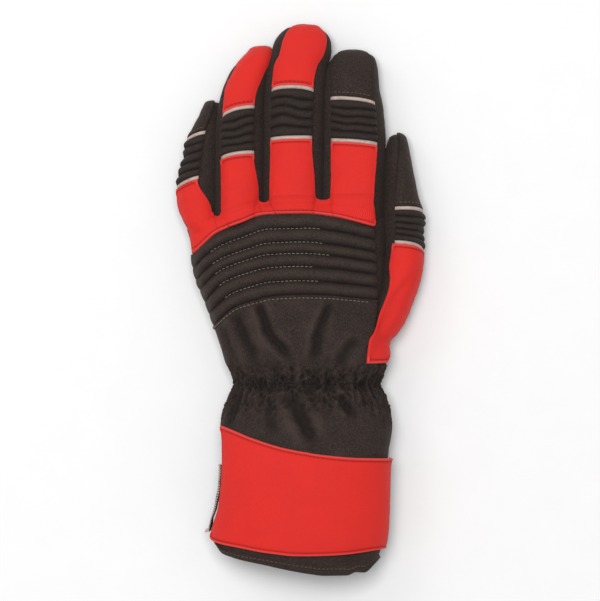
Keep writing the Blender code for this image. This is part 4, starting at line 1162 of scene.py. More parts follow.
def knuckle_columns():
    """The fingers' columns from the left: each finger's turns and the back's at its root."""
    blocks = []
    for number, digit in enumerate(reversed(DIGITS[:4])):
        y = wrist_y() + 0.5 * (CROTCHES[number] + CROTCHES[number + 1]) * sizes().hand_length
        turns = digit_turns(digit, y, digit.crotch_left, digit.crotch_right)
        centre, half, _ = hand_section(y)
        x = digit_points(digit, np.full_like(turns, y), turns)[:, 0]
        back = turn_at((x - centre) / half, HAND_POWER)
        back = back + np.maximum(turns - math.pi, 0.0)
        blocks.append((digit, turns, back))
    return blocks


def guard_edge(back_turns):
    """Turn and Y of the guard's upper seam below each of the columns."""
    shares = np.linspace(WRAP_SHARE, 1.0, 400)
    turn, y = seam(GUARD_TOP, shares, math.radians(KNUCKLE_WRAP))
    order = np.linspace(0.0, 1.0, len(shares))
    place = (back_turns[0] - back_turns) / (back_turns[0] - back_turns[-1])
    reach = (turn[0] - turn) / (turn[0] - turn[-1])
    at = np.interp(place, reach, order)
    return np.interp(at, order, turn), np.interp(at, order, y)


def crotch_points(before, after, grown):
    """Columns across a crotch: straight between two tongues, dipped as a half circle.

    grown goes from 0 at the guard's seam to 1 at the crotch, where the dip is deepest.
    """
    share = np.linspace(0.0, 1.0, CROTCH_COLUMNS + 2)[1:-1]
    between = before[:, None] + (after - before)[:, None] * share[None, :, None]
    dip = np.sqrt(1.0 - (2.0 * share - 1.0) ** 2)
    between[..., 1] -= CROTCH_DIP * dip * grown[:, None] ** 2
    between[..., 2] -= 0.0010 * np.sin(math.pi * share) ** 2 * grown[:, None] ** 3
    return between


def knuckle_panel(materials):
    """The red panel over the knuckles, with a tongue up each finger and round crotches.

    Its columns are the fingers' own, with some across each crotch between them. The
    rows run from the guard's seam to the crotches, and on up the tongues.
    """
    blocks = knuckle_columns()
    body, tongue, unsewn = 0.016, 0.036, 0.010
    body_share = rimmed(body, body / 44)[:, 0] / body
    tongue_share = rimmed(tongue, tongue / 48)[1:, 0] / tongue
    body_rows = len(body_share)
    rows = body_rows + len(tongue_share)
    grown = np.zeros(rows)
    grown[:body_rows] = body_share
    edge_turn, edge_y = guard_edge(np.concatenate([back for _, _, back in blocks]))
    parts, keep_parts, spans, ends = [], [], [], []
    place = 0
    count = 0
    for number, (digit, turns, back) in enumerate(blocks):
        low_turn = edge_turn[place:place + len(turns)]
        low_y = edge_y[place:place + len(turns)] + sizes().seam_gap
        place += len(turns)
        crotch = CROTCHES[number] + (CROTCHES[number + 1] - CROTCHES[number]) * share_across(turns)
        crotch = wrist_y() + crotch * sizes().hand_length
        end = seam_line(digit, turns, "lower") - UNDER_PIPING * sizes().piping_width
        y = np.concatenate([low_y + (crotch - low_y) * body_share[:, None],
                            crotch + (end - crotch) * tongue_share[:, None]])
        down = np.clip((crotch - y) / np.maximum(crotch - low_y, 1e-4), 0.0, 1.0)
        turned = back + (low_turn - back) * down
        own = spread_turns(digit, turns, (y - crotch) / (0.95 * (end - crotch)), "crotch_", "")
        block = knuckle_points(digit, own, turned, y, crotch)
        if number:
            parts.append(crotch_points(parts[-1][:, -1], block[:, 0], grown))
            kept = np.zeros((rows - 1, CROTCH_COLUMNS + 1), dtype=bool)
            kept[:body_rows - 1] = True
            keep_parts.append(kept)
            ends.append(np.full((rows, CROTCH_COLUMNS), unsewn))
            count += CROTCH_COLUMNS
        parts.append(block)
        keep_parts.append(np.ones((rows - 1, len(turns) - 1), dtype=bool))
        ends.append(np.minimum(y - low_y, end - y))
        spans.append((count, count + len(turns) - 1))
        count += len(turns)
    base = np.concatenate(parts, axis=1)
    keep = np.concatenate(keep_parts, axis=1)
    near = np.concatenate(ends, axis=1)
    near[:body_rows] = np.minimum(near[:body_rows], arc_lengths(base[:body_rows], 0))
    piece, upper, normals = hemmed_panel("knuckle_cloth", base, near, sizes().panel_thickness,
                                         0.0003 + worn(base, 60), materials["red"], keep)
    dress(piece, "red_cloth", "knuckle_panel")
    declare_sheet(base, keep)
    lines = [row_line(upper, normals, STITCH_ROW)]
    for start, end in spans:
        tongue_columns = slice(start + STITCH_ROW, end - STITCH_ROW)
        lines.append(row_line(upper, normals, -STITCH_ROW - 1, tongue_columns))
    return stitches("knuckle_stitches", lines, materials["red_thread"])


def back_grid(low, high, shares, rows):
    """Turns and Y of a panel's grid between two seams of the back."""
    low_turn, low_y = seam(low, shares, math.radians(BACK_WRAP))
    high_turn, high_y = seam(high, shares, math.radians(BACK_WRAP))
    turn = low_turn + (high_turn - low_turn) * rows[:, None]
    y = low_y + (high_y - low_y) * rows[:, None]
    return turn, y


def guard(materials):
    """The quilted guard: six round ribs across the back, stitched in the grooves."""
    ribs = len(GUARD_GROOVES) - 1
    shares = np.linspace(WRAP_SHARE, 1.0, 220)
    rows = np.interp(np.linspace(0.0, ribs, GUARD_RIB_ROWS * ribs + 1), np.arange(ribs + 1), GUARD_GROOVES)
    turn, y = back_grid(GUARD_END, GUARD_TOP, shares, rows)
    base = back_points(y, turn)
    wander = 0.06 * ripple(base[..., 0], 0.3 * base[..., 1], 0.030, 31)
    place = np.linspace(0.0, ribs, len(rows))[:, None] + wander * np.sin(math.pi * rows)[:, None]
    rib = np.maximum(1.0 - np.abs(2.0 * np.mod(place, 1.0) - 1.0) ** 2.0, 0.0) ** 0.85
    uneven = 1.0 + 0.16 * ripple(base[..., 0], base[..., 1], 0.012, 32)
    pucker = 0.00028 * ripple(base[..., 0], base[..., 1], 0.0042, 33) * (1.0 - rib)
    flat = ease((np.degrees(turn) - RIB_END) / (RIB_FLAT - RIB_END))
    sides = from_sides(len(shares))[None, :]
    closing = 0.3 + 0.7 * ease(sides / 4.0)
    swell = sizes().rib_height * rib * uneven * (1.0 - 0.8 * flat)
    height = (sizes().guard_thickness + swell + pucker) * closing
    # Painted shade darkens the grooves between the ribs, and a slight painted highlight lightens their
    # tops.
    shade = 0.60 * rib ** 0.75
    piece, upper, normals = lay_sheet("guard_quilt", base, materials["black"], height,
                                      lift=0.0003 - 0.0006 * flat + arm_relief(base, turn) * 0.4,
                                      shade=shade)
    dress(piece, "black_cloth", "knuckle_guard")
    lines = []
    for number in range(1, ribs):
        row = GUARD_RIB_ROWS * number
        middle = slice(GUARD_STITCHED[0], GUARD_STITCHED[1] - STAGGER * (number % 3))
        lines.append((upper[row, middle] + normals[row, middle] * 0.0001, normals[row, middle]))
    return stitches("guard_stitches", lines, materials["light_thread"])


def back_cloth(materials):
    """The black panel on the back, which thins out into the gathers of the wrist."""
    shares = np.linspace(WRAP_SHARE, 1.0, 170)
    rows = np.concatenate([np.linspace(0.0, 0.93, 84)[:-1], np.linspace(0.93, 1.0, 14)])
    turn, y = back_grid(BACK_END, GUARD_END, shares, rows)
    base = arm_points(y, turn)
    from_top = arc_lengths(base[::-1], 0)[::-1]
    fade = ease((y - wrist_y() + 0.001) / 0.014)
    height = sizes().panel_thickness * (0.12 + 0.88 * fade)
    rolled = rim_profile(from_top, sizes().panel_thickness)
    height = np.where(from_top < 0.004, rolled, height)
    relief = arm_relief(base, turn)
    # The valleys of the folds and gathers take painted shade, and their ridges a painted highlight.
    piece, upper, normals = lay_sheet("back_cloth", base, materials["black"], height,
                                      lift=0.0003 + relief, shade=relief_shade(relief))
    dress(piece, "black_cloth", "back_panel")
    declare_sheet(base)
    place = int(np.argmin(np.abs(from_top[:, BACK_MIDDLE] - RIM[-1])))
    lines = [row_line(upper, normals, place, slice(4, -3))]
    return stitches("back_stitches", lines, materials["light_thread"])


def over_hand(thumb, points):
    """The thumb's points where they come out of the hand: a soft maximum of both heights.

    Where the hand is wider than the thumb, the right half reaches out to its side.
    """
    x, y, z = points[..., 0], points[..., 1], points[..., 2]
    middle, half, _ = digit_section(thumb, y)
    centre, wide, top = hand_section(y)
    beside = np.maximum(centre + wide - middle - half, 0.0)
    x = x + beside * np.clip((x - middle) / half, 0.0, 1.0) ** 2
    share = np.clip(np.abs(x - centre) / wide, 0.0, 1.0)
    height = upper_height(share, top, HAND_POWER)
    height = height * ease((x - centre) / (0.2 * wide)) * np.where(share < 1.0, 1.0, 0.0)
    soft = 0.4 * KNUCKLE_BLEND
    lifted = soft * np.log(np.exp(z / soft) + np.exp(height / soft))
    upper = ease((z - 0.35 * top) / (0.2 * top))
    return np.stack([x, y, z + (lifted - z) * upper], axis=-1)


def crease_depth(points):
    """Depth of the thumb panel's creases: each a bell across its line, faded along it."""
    depth = np.zeros(points.shape[:-1])
    for crease in CREASES:
        up = points[..., 1] - crease.y
        gap = (points[..., 0] - crease.x - crease.lean * up) / CREASE_WIDTH
        depth += crease.depth * np.exp(-gap ** 2) * np.exp(-(up / CREASE_REACH) ** 2)
    return depth


def thumb_cloth(materials):
    """The red panel along the thumb, from the wrist's side up to the lower piping."""
    thumb = DIGITS[4]
    _, root_y = digit_root(thumb)
    reach = digit_size(thumb, "length")
    columns = digit_turns(thumb, root_y + 0.3 * reach, 116, THUMB_RIGHT)
    share = share_across(columns)
    end = seam_line(thumb, columns, "lower") - UNDER_PIPING * sizes().piping_width
    start = root_y - 0.0054
    y = start + rimmed(end - start)
    along = (y - root_y) / reach
    left = np.radians(smooth(along, column(THUMB_PANEL, "along"), column(THUMB_PANEL, "turn")))
    right = np.radians(THUMB_RIGHT + 46.0 * (1.0 - ease((y - start) / 0.010)))
    base = over_hand(thumb, digit_points(thumb, y, left + (right - left) * share))
    crease = crease_depth(base)
    over_back = 0.0016 * ease((0.004 - base[..., 1]) / 0.014) * (1.0 - share)
    lift = 0.0006 + over_back + worn(base, 60) - crease
    piece, upper, normals = hemmed_panel("thumb_cloth", base, np.minimum(y - start, end - y),
                                         sizes().panel_thickness, lift, materials["red"],
                                         crease=crease)
    dress(piece, "red_cloth", "thumb_panel")
    declare_sheet(base)
    lines = [row_line(upper, normals, STITCH_ROW), row_line(upper, normals, -STITCH_ROW - 1)]
    return stitches("thumb_stitches", lines, materials["red_thread"])


def sleeve(materials):
    """The gathered wrist and cuff: a wall round the arm, thin where it meets the hand."""
    turn = np.linspace(0.0, 2.0 * math.pi, 380, endpoint=False)
    start = wrist_y() + 0.012
    end = wrist_y() - sizes().cuff_length
    y = np.linspace(start, end, 176)[:, None]
    outer = arm_points(y, turn)
    normals = grid_normals(outer, closed=True)
    relief = arm_relief(outer, turn)
    outer = outer + normals * (0.0001 + relief)[..., None]
    inner_y = np.linspace(end, start, 60)[:, None]
    thin = ease((wrist_y() + 0.001 - inner_y) / 0.006)
    inner = arm_points(inner_y, turn)
    depth = 0.0004 + (sizes().wall - 0.0004) * thin
    inner_relief = arm_relief(inner, turn)
    inner = inner - grid_normals(inner[::-1], closed=True)[::-1] * (depth - inner_relief)[..., None]
    outer[..., 2] = np.maximum(outer[..., 2], GROUND)
    inner[..., 2] = np.maximum(inner[..., 2], GROUND + depth)
    # The valleys of the gathers and folds take painted shade, and their ridges a painted highlight.
    shade = np.concatenate([relief_shade(relief), np.full(inner.shape[:-1], 0.5)])
    piece = loft("sleeve", np.concatenate([outer, inner]), materials["black"], True, shade)
    dress(piece, "black_cloth", "gauntlet")


def hem_band(materials):
    """The bound end of the cuff, longer towards the thumb, with a bunched fold there."""
    turn = np.linspace(0.0, 2.0 * math.pi, 300, endpoint=False)
    across, _ = superellipse(turn, CUFF_POWER)
    reach = sizes().hem_length * smooth(0.5 + 0.5 * across, column(HEM_END, "across"),
                                        column(HEM_END, "reach"))
    start = wrist_y() - sizes().cuff_length + 0.001
    rows = 28
    share = np.linspace(0.0, 1.0, rows)[:, None]
    y = start - (reach + 0.001) * share
    outer = cuff_points(y, turn)
    bunch = np.exp(-((across - 0.66) / 0.10) ** 2) * np.where(np.sin(turn) > 0.0, 1.0, 0.0)
    fold = 0.0030 * bunch * np.sin(3.0 * math.pi * share) * share
    near_end = (1.0 - share) * (reach + 0.001)
    roll = 0.0008 * np.exp(-((near_end - 0.0016) / 0.0010) ** 2)
    dip = 0.0005 * np.exp(-((near_end - 0.0036) / 0.0005) ** 2)
    relief = worn(outer, 25) + roll - dip + fold
    normals = grid_normals(outer, closed=True)
    outer = outer + normals * relief[..., None]
    inner = cuff_points(y[::-3], turn, inset=0.0026, level=0.0026)
    sewn = outer.copy()
    outer[..., 2] = np.maximum(outer[..., 2], GROUND)
    piece = loft("hem_band", np.concatenate([outer, inner]), materials["black"], ring_closed=True)
    dress(piece, "black_cloth", "cuff_hem")
    place = int(round(0.80 * (rows - 1)))
    upper = np.sin(turn) > -0.2
    lines = [(sewn[place][upper][4:-4], normals[place][upper][4:-4])]
    return stitches("hem_stitches", lines, materials["brown_thread"])


def flap_left(y):
    """Turn of the cuff flap's left edge at Y."""
    along = (wrist_y() - y) / sizes().cuff_length
    return np.radians(smooth(along, column(FLAP_LEFT, "along"), column(FLAP_LEFT, "turn")))


def flap(materials):
    """The red panel over the cuff, hemmed all round, standing a little off the sleeve."""
    right = math.radians(FLAP_RIGHT)
    fine = np.linspace(math.radians(FLAP_LEFT[0].turn), right, 400)
    y_middle = wrist_y() - 0.7 * sizes().cuff_length
    turns = even_turns(fine, cuff_points(np.full_like(fine, y_middle), fine))
    share = 0.5 + 0.5 * superellipse(np.clip(turns, 0.0, math.pi), CUFF_POWER)[0]
    across = column(FLAP, "across")
    top = wrist_y() - sizes().cuff_length * smooth(share, across, column(FLAP, "top"))
    bottom = wrist_y() - sizes().cuff_length * smooth(share, across, column(FLAP, "bottom"))
    y = bottom + rimmed(top - bottom)
    place = (turns - right) / (turns[0] - right)
    base = cuff_points(y, right + (flap_left(y) - right) * place)
    sag = 0.0006 * ripple(base[..., 0], base[..., 1], 0.045, 71)
    lift = 0.0014 + sag + 0.5 * worn(base, 72)
    piece, upper, normals = hemmed_panel("flap_cloth", base, np.minimum(y - bottom, top - y),
                                         1.15 * sizes().panel_thickness, lift, materials["red"])
    dress(piece, "red_cloth", "cuff_flap")
    declare_sheet(base)
    lines = [row_line(upper, normals, STITCH_ROW), row_line(upper, normals, -STITCH_ROW - 1)]
    return stitches("flap_stitches", lines, materials["red_thread"])


def zip_span():
    """Y of the zip's upper and of its lower end."""
    return (wrist_y() - ZIP_START * sizes().cuff_length,
            wrist_y() - ZIP_END * sizes().cuff_length)


def zip_stand_off(y):
    """How far the zip stands away from the cuff: more and more towards its lower end."""
    start, end = zip_span()
    return 0.0021 * ease(((start - y) / (start - end) - 0.35) / 0.65)


def zip_tape(material):
    """The zip's tape beside the flap's left edge, a strip round the cuff's side."""
    start, end = zip_span()
    y = end + (start - end) * np.linspace(0.0, 1.0, 60)[:, None]
    base = cuff_points(y, flap_left(y) + np.radians(np.linspace(22.0, 2.0, 24)))
    tape, _, _ = lay_sheet("zip_band", base, material, np.full((60, 24), 0.0007),
                           lift=0.0012 + zip_stand_off(y) + worn(base, 20))
    dress(tape, "stretch_cloth", "zip_tape")
    declare_sheet(base)


def zip_teeth(material):
    """Two rows of teeth on the tape, each tooth a short and thick thread."""
    start, end = zip_span()
    y = np.linspace(end, start, 80)
    lines = []
    for beside in (5.0, 8.0):
        points = cuff_points(y, flap_left(y) + math.radians(beside))
        outward = points - np.array([0.0, 0.0, 0.02])
        outward[:, 1] = 0.0
        outward /= np.linalg.norm(outward, axis=1, keepdims=True)
        lines.append((points + outward * (0.0021 + zip_stand_off(y)[:, None]), outward))
    teeth = stitches("zip_coil", lines, material, pitch=0.0016, reach=0.0012, radius=0.0006)
    dress(teeth, "grey_piping", "zip_teeth")


def zip_tab(material):
    """The tab at the zip's end: rounded sections along X that widen outwards, with a waist."""
    low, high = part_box("zip_tab")
    place = np.linspace(0.0, 1.0, 16)[:, None]
    around = np.linspace(0.0, 2.0 * math.pi, 20, endpoint=False)
    side, up = superellipse(around, 4.0)
    wide = 0.5 * (high[1] - low[1]) * (0.55 + 0.25 * place)
    round_end = np.sqrt(np.clip(1.0 - ((place - 0.5) * 2.0) ** 8, 0.02, 1.0))
    x = high[0] + 0.0016 + (low[0] - high[0] - 0.0012) * place
    middle_y = 0.5 * (low[1] + high[1]) + 0.0014 * (1.0 - 2.0 * place)
    thick = 0.5 * (high[2] - low[2]) * (1.0 - 0.25 * np.sin(3.0 * math.pi * place) ** 2)
    rings = np.stack(np.broadcast_arrays(x, middle_y + wide * round_end * side,
                                         0.5 * (low[2] + high[2]) + thick * round_end * up), axis=-1)
    tab = loft("zip_pull", rings[::-1], material)
    dress(tab, "grey_piping", "zip_tab")


def shader_material(name, tint, roughness, sheen=0.0):
    """A new material with its shader's plain values set."""
    material = bpy.data.materials.new(name)
    material.use_nodes = True
    material.diffuse_color = (*tint, 1.0)
    shader = material.node_tree.nodes["Principled BSDF"]
    shader.inputs["Roughness"].default_value = roughness
    shader.inputs["Specular IOR Level"].default_value = 0.25
    shader.inputs["Sheen Weight"].default_value = sheen
    shader.inputs["Sheen Roughness"].default_value = 0.45
    shader.inputs["Base Color"].default_value = (*tint, 1.0)
    return material, shader


def node(tree, kind, **values):
    """A new node with some of its inputs or settings given by name."""
    made = tree.nodes.new(kind)
    for name, value in values.items():
        if hasattr(made, name):
            setattr(made, name, value)
        else:
            made.inputs[name.replace("_", " ")].default_value = value
    return made


def pattern_space(tree, source, turned=0.0, stretch=(1.0, 1.0, 1.0)):
    """Coordinates in metres from the object or its cloth map, turned and stretched."""
    place = tree.nodes.new("ShaderNodeTexCoord")
    mapping = tree.nodes.new("ShaderNodeMapping")
    mapping.inputs["Rotation"].default_value = (0.0, 0.0, math.radians(turned))
    mapping.inputs["Scale"].default_value = stretch
    tree.links.new(place.outputs[source], mapping.inputs["Vector"])
    return mapping.outputs["Vector"]


def noise(tree, vector, scale, detail=2.0, roughness=0.55):
    """A noise texture's value, its size one over scale in metres."""
    made = node(tree, "ShaderNodeTexNoise", Scale=scale, Detail=detail, Roughness=roughness)
    tree.links.new(vector, made.inputs["Vector"])
    return made.outputs["Fac"]


def spread(tree, value, low, high, first=0.0, last=1.0):
    """A value's range from low to high, carried to first to last."""
    made = tree.nodes.new("ShaderNodeMapRange")
    for name, number in zip(("From Min", "From Max", "To Min", "To Max"), (low, high, first, last)):
        made.inputs[name].default_value = number
    tree.links.new(value, made.inputs["Value"])
    return made.outputs["Result"]


def maths(tree, operation, first, second):
    """One sum on two values, each a socket or a number."""
    made = node(tree, "ShaderNodeMath", operation=operation)
    for place, value in enumerate((first, second)):
        if isinstance(value, (int, float)):
            made.inputs[place].default_value = value
        else:
            tree.links.new(value, made.inputs[place])
    return made.outputs["Value"]


def blend_colours(tree, factor, first, second):
    """A colour between two, by a value."""
    made = node(tree, "ShaderNodeMix", data_type="RGBA")
    tree.links.new(factor, made.inputs["Factor"])
    for name, value in (("A", first), ("B", second)):
        socket = [s for s in made.inputs if s.name == name and s.type == "RGBA"][0]
        if isinstance(value, tuple):
            socket.default_value = (*value, 1.0)
        else:
            tree.links.new(value, socket)
    return [s for s in made.outputs if s.type == "RGBA"][0]


def scaled(tint, factor):
    """A colour made lighter or darker."""
    return tuple(min(1.0, part * factor) for part in tint)


def bump(tree, shader, height, distance, strength):
    """Relief from a height value in units of distance."""
    made = node(tree, "ShaderNodeBump", Strength=strength, Distance=distance)
    tree.links.new(height, made.inputs["Height"])
    tree.links.new(made.outputs["Normal"], shader.inputs["Normal"])


def toned(tree, cloth, dark, light):
    """The cloth's colour by its points' painted light: shade painted dark into grooves, highlights painted
    light on ridges.
    """
    shade = node(tree, "ShaderNodeAttribute", attribute_name="shade").outputs["Fac"]
    low = blend_colours(tree, spread(tree, shade, 0.0, 0.5), dark, cloth)
    return blend_colours(tree, spread(tree, shade, 0.5, 1.0), low, light)


def black_cloth(name, tint, contrast):
    """Brushed black cloth: a mottled twill of short diagonal floats with lighter fibres.

    Noise stretched along the diagonal makes the floats, a wide noise the wear, and the points' shade
    paints shade into grooves and highlights onto ridges.
    """
    material, shader = shader_material(name, tint, 0.88, 0.08)
    shader.inputs["Sheen Tint"].default_value = (0.62, 0.48, 0.41, 1.0)
    tree = material.node_tree
    diagonal = pattern_space(tree, "Object", 38.0, (1.0, 0.45, 1.0))
    plain = pattern_space(tree, "Object")
    floats = noise(tree, diagonal, 2300.0, 2.0, 0.6)
    fibres = noise(tree, plain, 3600.0, 1.0, 0.7)
    wear = noise(tree, plain, 110.0, 3.0, 0.6)
    speck = spread(tree, floats, 0.36, 0.68)
    light = maths(tree, "MULTIPLY", speck, spread(tree, fibres, 0.35, 0.7, 0.45, 1.0))
    cloth = blend_colours(tree, light, scaled(tint, 1.0 - 0.55 * contrast),
                          scaled(tint, 1.0 + 1.7 * contrast))
    worn_cloth = blend_colours(tree, spread(tree, wear, 0.45, 0.75, 0.0, 0.3), cloth,
                               scaled(tint, 1.0 + 0.7 * contrast))
    # Painted shade darkens the cloth in grooves and valleys, and a painted highlight lightens it on
    # ridges.
    final = toned(tree, worn_cloth, scaled(tint, 0.12), scaled(tint, 2.6))
    tree.links.new(final, shader.inputs["Base Color"])
    height = maths(tree, "ADD", maths(tree, "MULTIPLY", floats, 0.7), maths(tree, "MULTIPLY", fibres, 0.5))
    bump(tree, shader, height, 0.0003, 0.7)
    return material


def red_cloth(name, tint):
    """Red twill: fine diagonal ribs on the cloth's own map, with uneven dye and fibres, and painted shade
    and highlights by its points' shade.
    """
    material, shader = shader_material(name, tint, 0.78, 0.10)
    shader.inputs["Sheen Tint"].default_value = (1.0, 0.45, 0.40, 1.0)
    tree = material.node_tree
    ribs = node(tree, "ShaderNodeTexWave", wave_type="BANDS", bands_direction="X",
                Scale=1.0, Distortion=1.2, Detail=1.0)
    ribs.inputs["Detail Scale"].default_value = 1.5
    space = pattern_space(tree, "UV", 42.0, (330.0, 330.0, 330.0))
    tree.links.new(space, ribs.inputs["Vector"])
    plain = pattern_space(tree, "Object")
    fibres = noise(tree, plain, 1800.0, 2.0, 0.65)
    wear = noise(tree, plain, 60.0, 3.0, 0.55)
    wave = maths(tree, "MULTIPLY", ribs.outputs["Fac"], 0.5)
    mixed = maths(tree, "ADD", wave, maths(tree, "MULTIPLY", fibres, 0.6))
    cloth = blend_colours(tree, spread(tree, mixed, 0.25, 0.85), scaled(tint, 0.82), scaled(tint, 1.08))
    # The second of these colours is the red of painted shade, the third the pinkish red of a painted
    # highlight, both mixed in by the shade attribute; the first is faded dye.
    faded, painted_shade, painted_highlight = (0.64, 0.022, 0.020), (0.30, 0.008, 0.008), (0.80, 0.085, 0.070)
    uneven = blend_colours(tree, spread(tree, wear, 0.40, 0.72, 0.0, 0.5), cloth, faded)
    tree.links.new(toned(tree, uneven, painted_shade, painted_highlight), shader.inputs["Base Color"])
    bump(tree, shader, mixed, 0.00022, 0.8)
    return material


def grey_piping(name, tint):
    """Reflective piping: smooth pale grey film with fine grain and dull patches."""
    material, shader = shader_material(name, tint, 0.42)
    shader.inputs["Specular IOR Level"].default_value = 0.5
    tree = material.node_tree
    plain = pattern_space(tree, "Object")
    grain = noise(tree, plain, 3000.0, 1.0, 0.6)
    patches = noise(tree, plain, 260.0, 2.0, 0.6)
    tone = maths(tree, "ADD", maths(tree, "MULTIPLY", grain, 0.4), maths(tree, "MULTIPLY", patches, 0.6))
    film = blend_colours(tree, spread(tree, tone, 0.35, 0.65), scaled(tint, 0.80), scaled(tint, 1.14))
    tree.links.new(film, shader.inputs["Base Color"])
    tree.links.new(spread(tree, patches, 0.3, 0.7, 0.34, 0.56), shader.inputs["Roughness"])
    bump(tree, shader, tone, 0.0001, 0.6)
    return material


def thread(name, tint):
    """Sewing thread: its ply as fine noise, lighter and darker by turns."""
    material, shader = shader_material(name, tint, 0.70, 0.1)
    tree = material.node_tree
    ply = noise(tree, pattern_space(tree, "Object"), 4200.0, 1.0, 0.6)
    tone = blend_colours(tree, spread(tree, ply, 0.35, 0.65), scaled(tint, 0.7), scaled(tint, 1.3))
    tree.links.new(tone, shader.inputs["Base Color"])
    bump(tree, shader, ply, 0.0001, 0.6)
    return material


def dressing_materials():
    """All of the glove's materials by name, made once."""
    made = {
        "black": ("glove_black", black_cloth, (colours().black, 1.0)),
        "stretch": ("glove_stretch", black_cloth, (colours().stretch, 0.8)),
        "red": ("glove_red", red_cloth, (colours().red,)),
        "grey": ("glove_piping", grey_piping, (colours().grey,)),
        "zip": ("glove_zip", grey_piping, (colours().grey,)),
        "light_thread": ("glove_light_thread", thread, (colours().light_thread,)),
        "red_thread": ("glove_red_thread", thread, (colours().red_thread,)),
        "brown_thread": ("glove_brown_thread", thread, (colours().brown_thread,)),
    }
    found = {}
    for key, (name, make, values) in made.items():
        values = tuple(tuple(value) if hasattr(value, "__len__") else value for value in values)
        found[key] = bpy.data.materials.get(name) or make(name, *values)
    return found


def even_sky(scene, strength):
    """White light of one strength from all round."""
    world = bpy.data.worlds.new("soft_sky")
    world.use_nodes = True
    sky = world.node_tree.nodes["Background"]
    sky.inputs["Color"].default_value = (1.0, 1.0, 1.0, 1.0)
    sky.inputs["Strength"].default_value = strength
    scene.world = world


def floor_paper(name, tint):
    """Pale paper with a grain that hardly shows."""
    material, shader = shader_material(name, tint, 0.9)
    tree = material.node_tree
    grain = noise(tree, pattern_space(tree, "Object"), 40.0, 3.0, 0.6)
    paper = blend_colours(tree, spread(tree, grain, 0.3, 0.7), scaled(tint, 0.985), tint)
    tree.links.new(paper, shader.inputs["Base Color"])
    return material


def pale_floor(scene):
    """A square floor just below the glove."""
    corners = [(FLOOR_HALF * x, FLOOR_HALF * y, -0.0001)
               for x, y in ((-1, -1), (1, -1), (1, 1), (-1, 1))]
    mesh = bpy.data.meshes.new("floor")
    mesh.from_pydata(corners, [], [(0, 1, 2, 3)])
    mesh.materials.append(floor_paper("floor_paper", tuple(colours().floor)))
    floor = bpy.data.objects.new("floor", mesh)
    scene.collection.objects.link(floor)


def soft_light(scene, name, power, size, place):
    """A square area light at a place, turned to the origin."""
    light = bpy.data.lights.new(name, "AREA")
    light.energy = power
    light.size = size
    lamp = bpy.data.objects.new(name, light)
    lamp.location = place
    aim = -lamp.location
    lamp.rotation_euler = aim.to_track_quat("-Z", "Y").to_euler()
    scene.collection.objects.link(lamp)


def camera_above(scene, stage):
    """A camera that looks straight down, its lens set by the width that it shows."""
    view = bpy.data.cameras.new("view")
    view.sensor_width = 36.0
    view.lens = view.sensor_width * stage.camera_height / (stage.view_width * PICTURE_SHAPE)
    view.clip_end = 20.0
    camera = bpy.data.objects.new("view", view)
    camera.location = (-0.0003, -0.0003, stage.camera_height + 0.015)
    scene.collection.objects.link(camera)
    scene.camera = camera


class GloveOperator(bpy.types.Operator):
    """Common ground of the glove's operators."""

    bl_options = {"REGISTER", "UNDO"}


class GLOVE_OT_shell(GloveOperator):
    """Make the black shell: the hand and the five digits, each a hollow cup"""

    bl_idname = "glove.shell"
    bl_label = "Shell"

    def execute(self, context):
        black = dressing_materials()["black"]
        hand = hand_shell(black)
        dress(hand, "black_cloth", "hand_body")
        around = girth(sizes().hand_width, sizes().hand_thickness)
        for digit in DIGITS:
            piece = digit_shell(digit, black)
            dress(piece, "black_cloth", f"{digit.name}_stall")
            around = girth(digit_size(digit, "width"), digit_size(digit, "thickness"))
            digit_size(digit, "length")
        return {"FINISHED"}


class GLOVE_OT_finger_trim(GloveOperator):
    """Make each digit's two pipings, ribbed insert and tip panel"""

    bl_idname = "glove.finger_trim"
    bl_label = "Finger trim"

    def execute(self, context):
        materials = dressing_materials()
        for digit in DIGITS:
            _, root_y = digit_root(digit)
            turns = digit_turns(digit, root_y + 0.55 * digit_size(digit, "length"))
            piping(digit, "lower", turns, materials["grey"])
            piping(digit, "upper", turns, materials["grey"])
            flex_insert(digit, turns, materials["stretch"])
            threads = tip_panel(digit, turns, materials)
            dress(threads, "red_cloth" if digit.tip_red else "black_cloth")
        return {"FINISHED"}


class GLOVE_OT_knuckle_panel(GloveOperator):
    """Make the red panel over the knuckles with its four tongues"""

    bl_idname = "glove.knuckle_panel"
    bl_label = "Knuckle panel"

    def execute(self, context):
        dress(knuckle_panel(dressing_materials()), "red_cloth")
        return {"FINISHED"}


class GLOVE_OT_guard(GloveOperator):
    """Make the quilted knuckle guard"""

    bl_idname = "glove.guard"
    bl_label = "Knuckle guard"

    def execute(self, context):
        dress(guard(dressing_materials()), "black_cloth")
        return {"FINISHED"}


class GLOVE_OT_back(GloveOperator):
    """Make the black panel on the back of the hand"""

    bl_idname = "glove.back"
    bl_label = "Back panel"

    def execute(self, context):
        dress(back_cloth(dressing_materials()), "black_cloth")
        return {"FINISHED"}


class GLOVE_OT_thumb_panel(GloveOperator):
    """Make the red panel along the thumb"""

    bl_idname = "glove.thumb_panel"
    bl_label = "Thumb panel"

    def execute(self, context):
        dress(thumb_cloth(dressing_materials()), "red_cloth")
        return {"FINISHED"}


class GLOVE_OT_cuff(GloveOperator):
    """Make the gathered sleeve and the hem"""

    bl_idname = "glove.cuff"
    bl_label = "Cuff"

    def execute(self, context):
        materials = dressing_materials()
        sleeve(materials)
        dress(hem_band(materials), "black_cloth")
        return {"FINISHED"}


class GLOVE_OT_flap(GloveOperator):
    """Make the red flap over the cuff"""

    bl_idname = "glove.flap"
    bl_label = "Cuff flap"

    def execute(self, context):
        dress(flap(dressing_materials()), "red_cloth")
        return {"FINISHED"}


class GLOVE_OT_zip(GloveOperator):
    """Make the zip's tape, teeth and tab"""

    bl_idname = "glove.zip"
    bl_label = "Zip"

    def execute(self, context):
        materials = dressing_materials()
        zip_tape(materials["stretch"])
        zip_teeth(materials["zip"])
        zip_tab(materials["zip"])
        return {"FINISHED"}


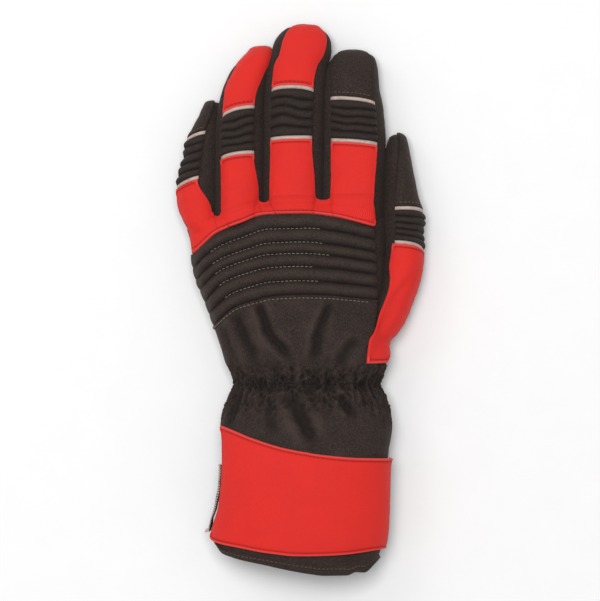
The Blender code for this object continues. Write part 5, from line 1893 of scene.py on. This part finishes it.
class GLOVE_OT_stage(GloveOperator):
    """Make the floor, the soft lights and the camera straight above"""

    bl_idname = "glove.stage"
    bl_label = "Stage"

    def execute(self, context):
        scene = context.scene
        stage = scene.glove_stage
        scene.view_settings.view_transform = "Standard"
        even_sky(scene, stage.sky)
        pale_floor(scene)
        soft_light(scene, "key", stage.key, 0.9, (-0.15, 0.25, 2.4))
        soft_light(scene, "fill", stage.fill, 0.8, (-0.9, 0.9, 1.3))
        camera_above(scene, stage)
        return {"FINISHED"}


STEPS = (GLOVE_OT_shell, GLOVE_OT_finger_trim, GLOVE_OT_knuckle_panel, GLOVE_OT_guard,
         GLOVE_OT_back, GLOVE_OT_thumb_panel, GLOVE_OT_cuff, GLOVE_OT_flap, GLOVE_OT_zip,
         GLOVE_OT_stage)


class GLOVE_PT_panel(bpy.types.Panel):
    """The glove's steps and its main sizes and colours"""

    bl_label = "Firefighter glove"
    bl_idname = "GLOVE_PT_panel"
    bl_space_type = "VIEW_3D"
    bl_region_type = "UI"
    bl_category = "Glove"

    def draw(self, context):
        layout = self.layout
        for step in STEPS:
            layout.operator(step.bl_idname)
        for group in (context.scene.glove_sizes, context.scene.glove_colours,
                      context.scene.glove_stage):
            box = layout.box()
            for name in group.bl_rna.properties.keys():
                if name not in {"rna_type", "name"}:
                    box.prop(group, name)


GROUPS = (GloveSizes, GloveColours, GloveStage)


def register():
    """Register the classes and hang the properties on the scene."""
    for kind in GROUPS + STEPS + (GLOVE_PT_panel,):
        bpy.utils.register_class(kind)
    bpy.types.Scene.glove_sizes = bpy.props.PointerProperty(type=GloveSizes)
    bpy.types.Scene.glove_colours = bpy.props.PointerProperty(type=GloveColours)
    bpy.types.Scene.glove_stage = bpy.props.PointerProperty(type=GloveStage)


def unregister():
    """Take the properties and the classes away again."""
    del bpy.types.Scene.glove_stage
    del bpy.types.Scene.glove_colours
    del bpy.types.Scene.glove_sizes
    for kind in reversed(GROUPS + STEPS + (GLOVE_PT_panel,)):
        bpy.utils.unregister_class(kind)


def main():
    """Run every step in order."""
    register()
    for step in STEPS:
        group, name = step.bl_idname.split(".")
        getattr(getattr(bpy.ops, group), name)()


if __name__ == "__main__":
    main()
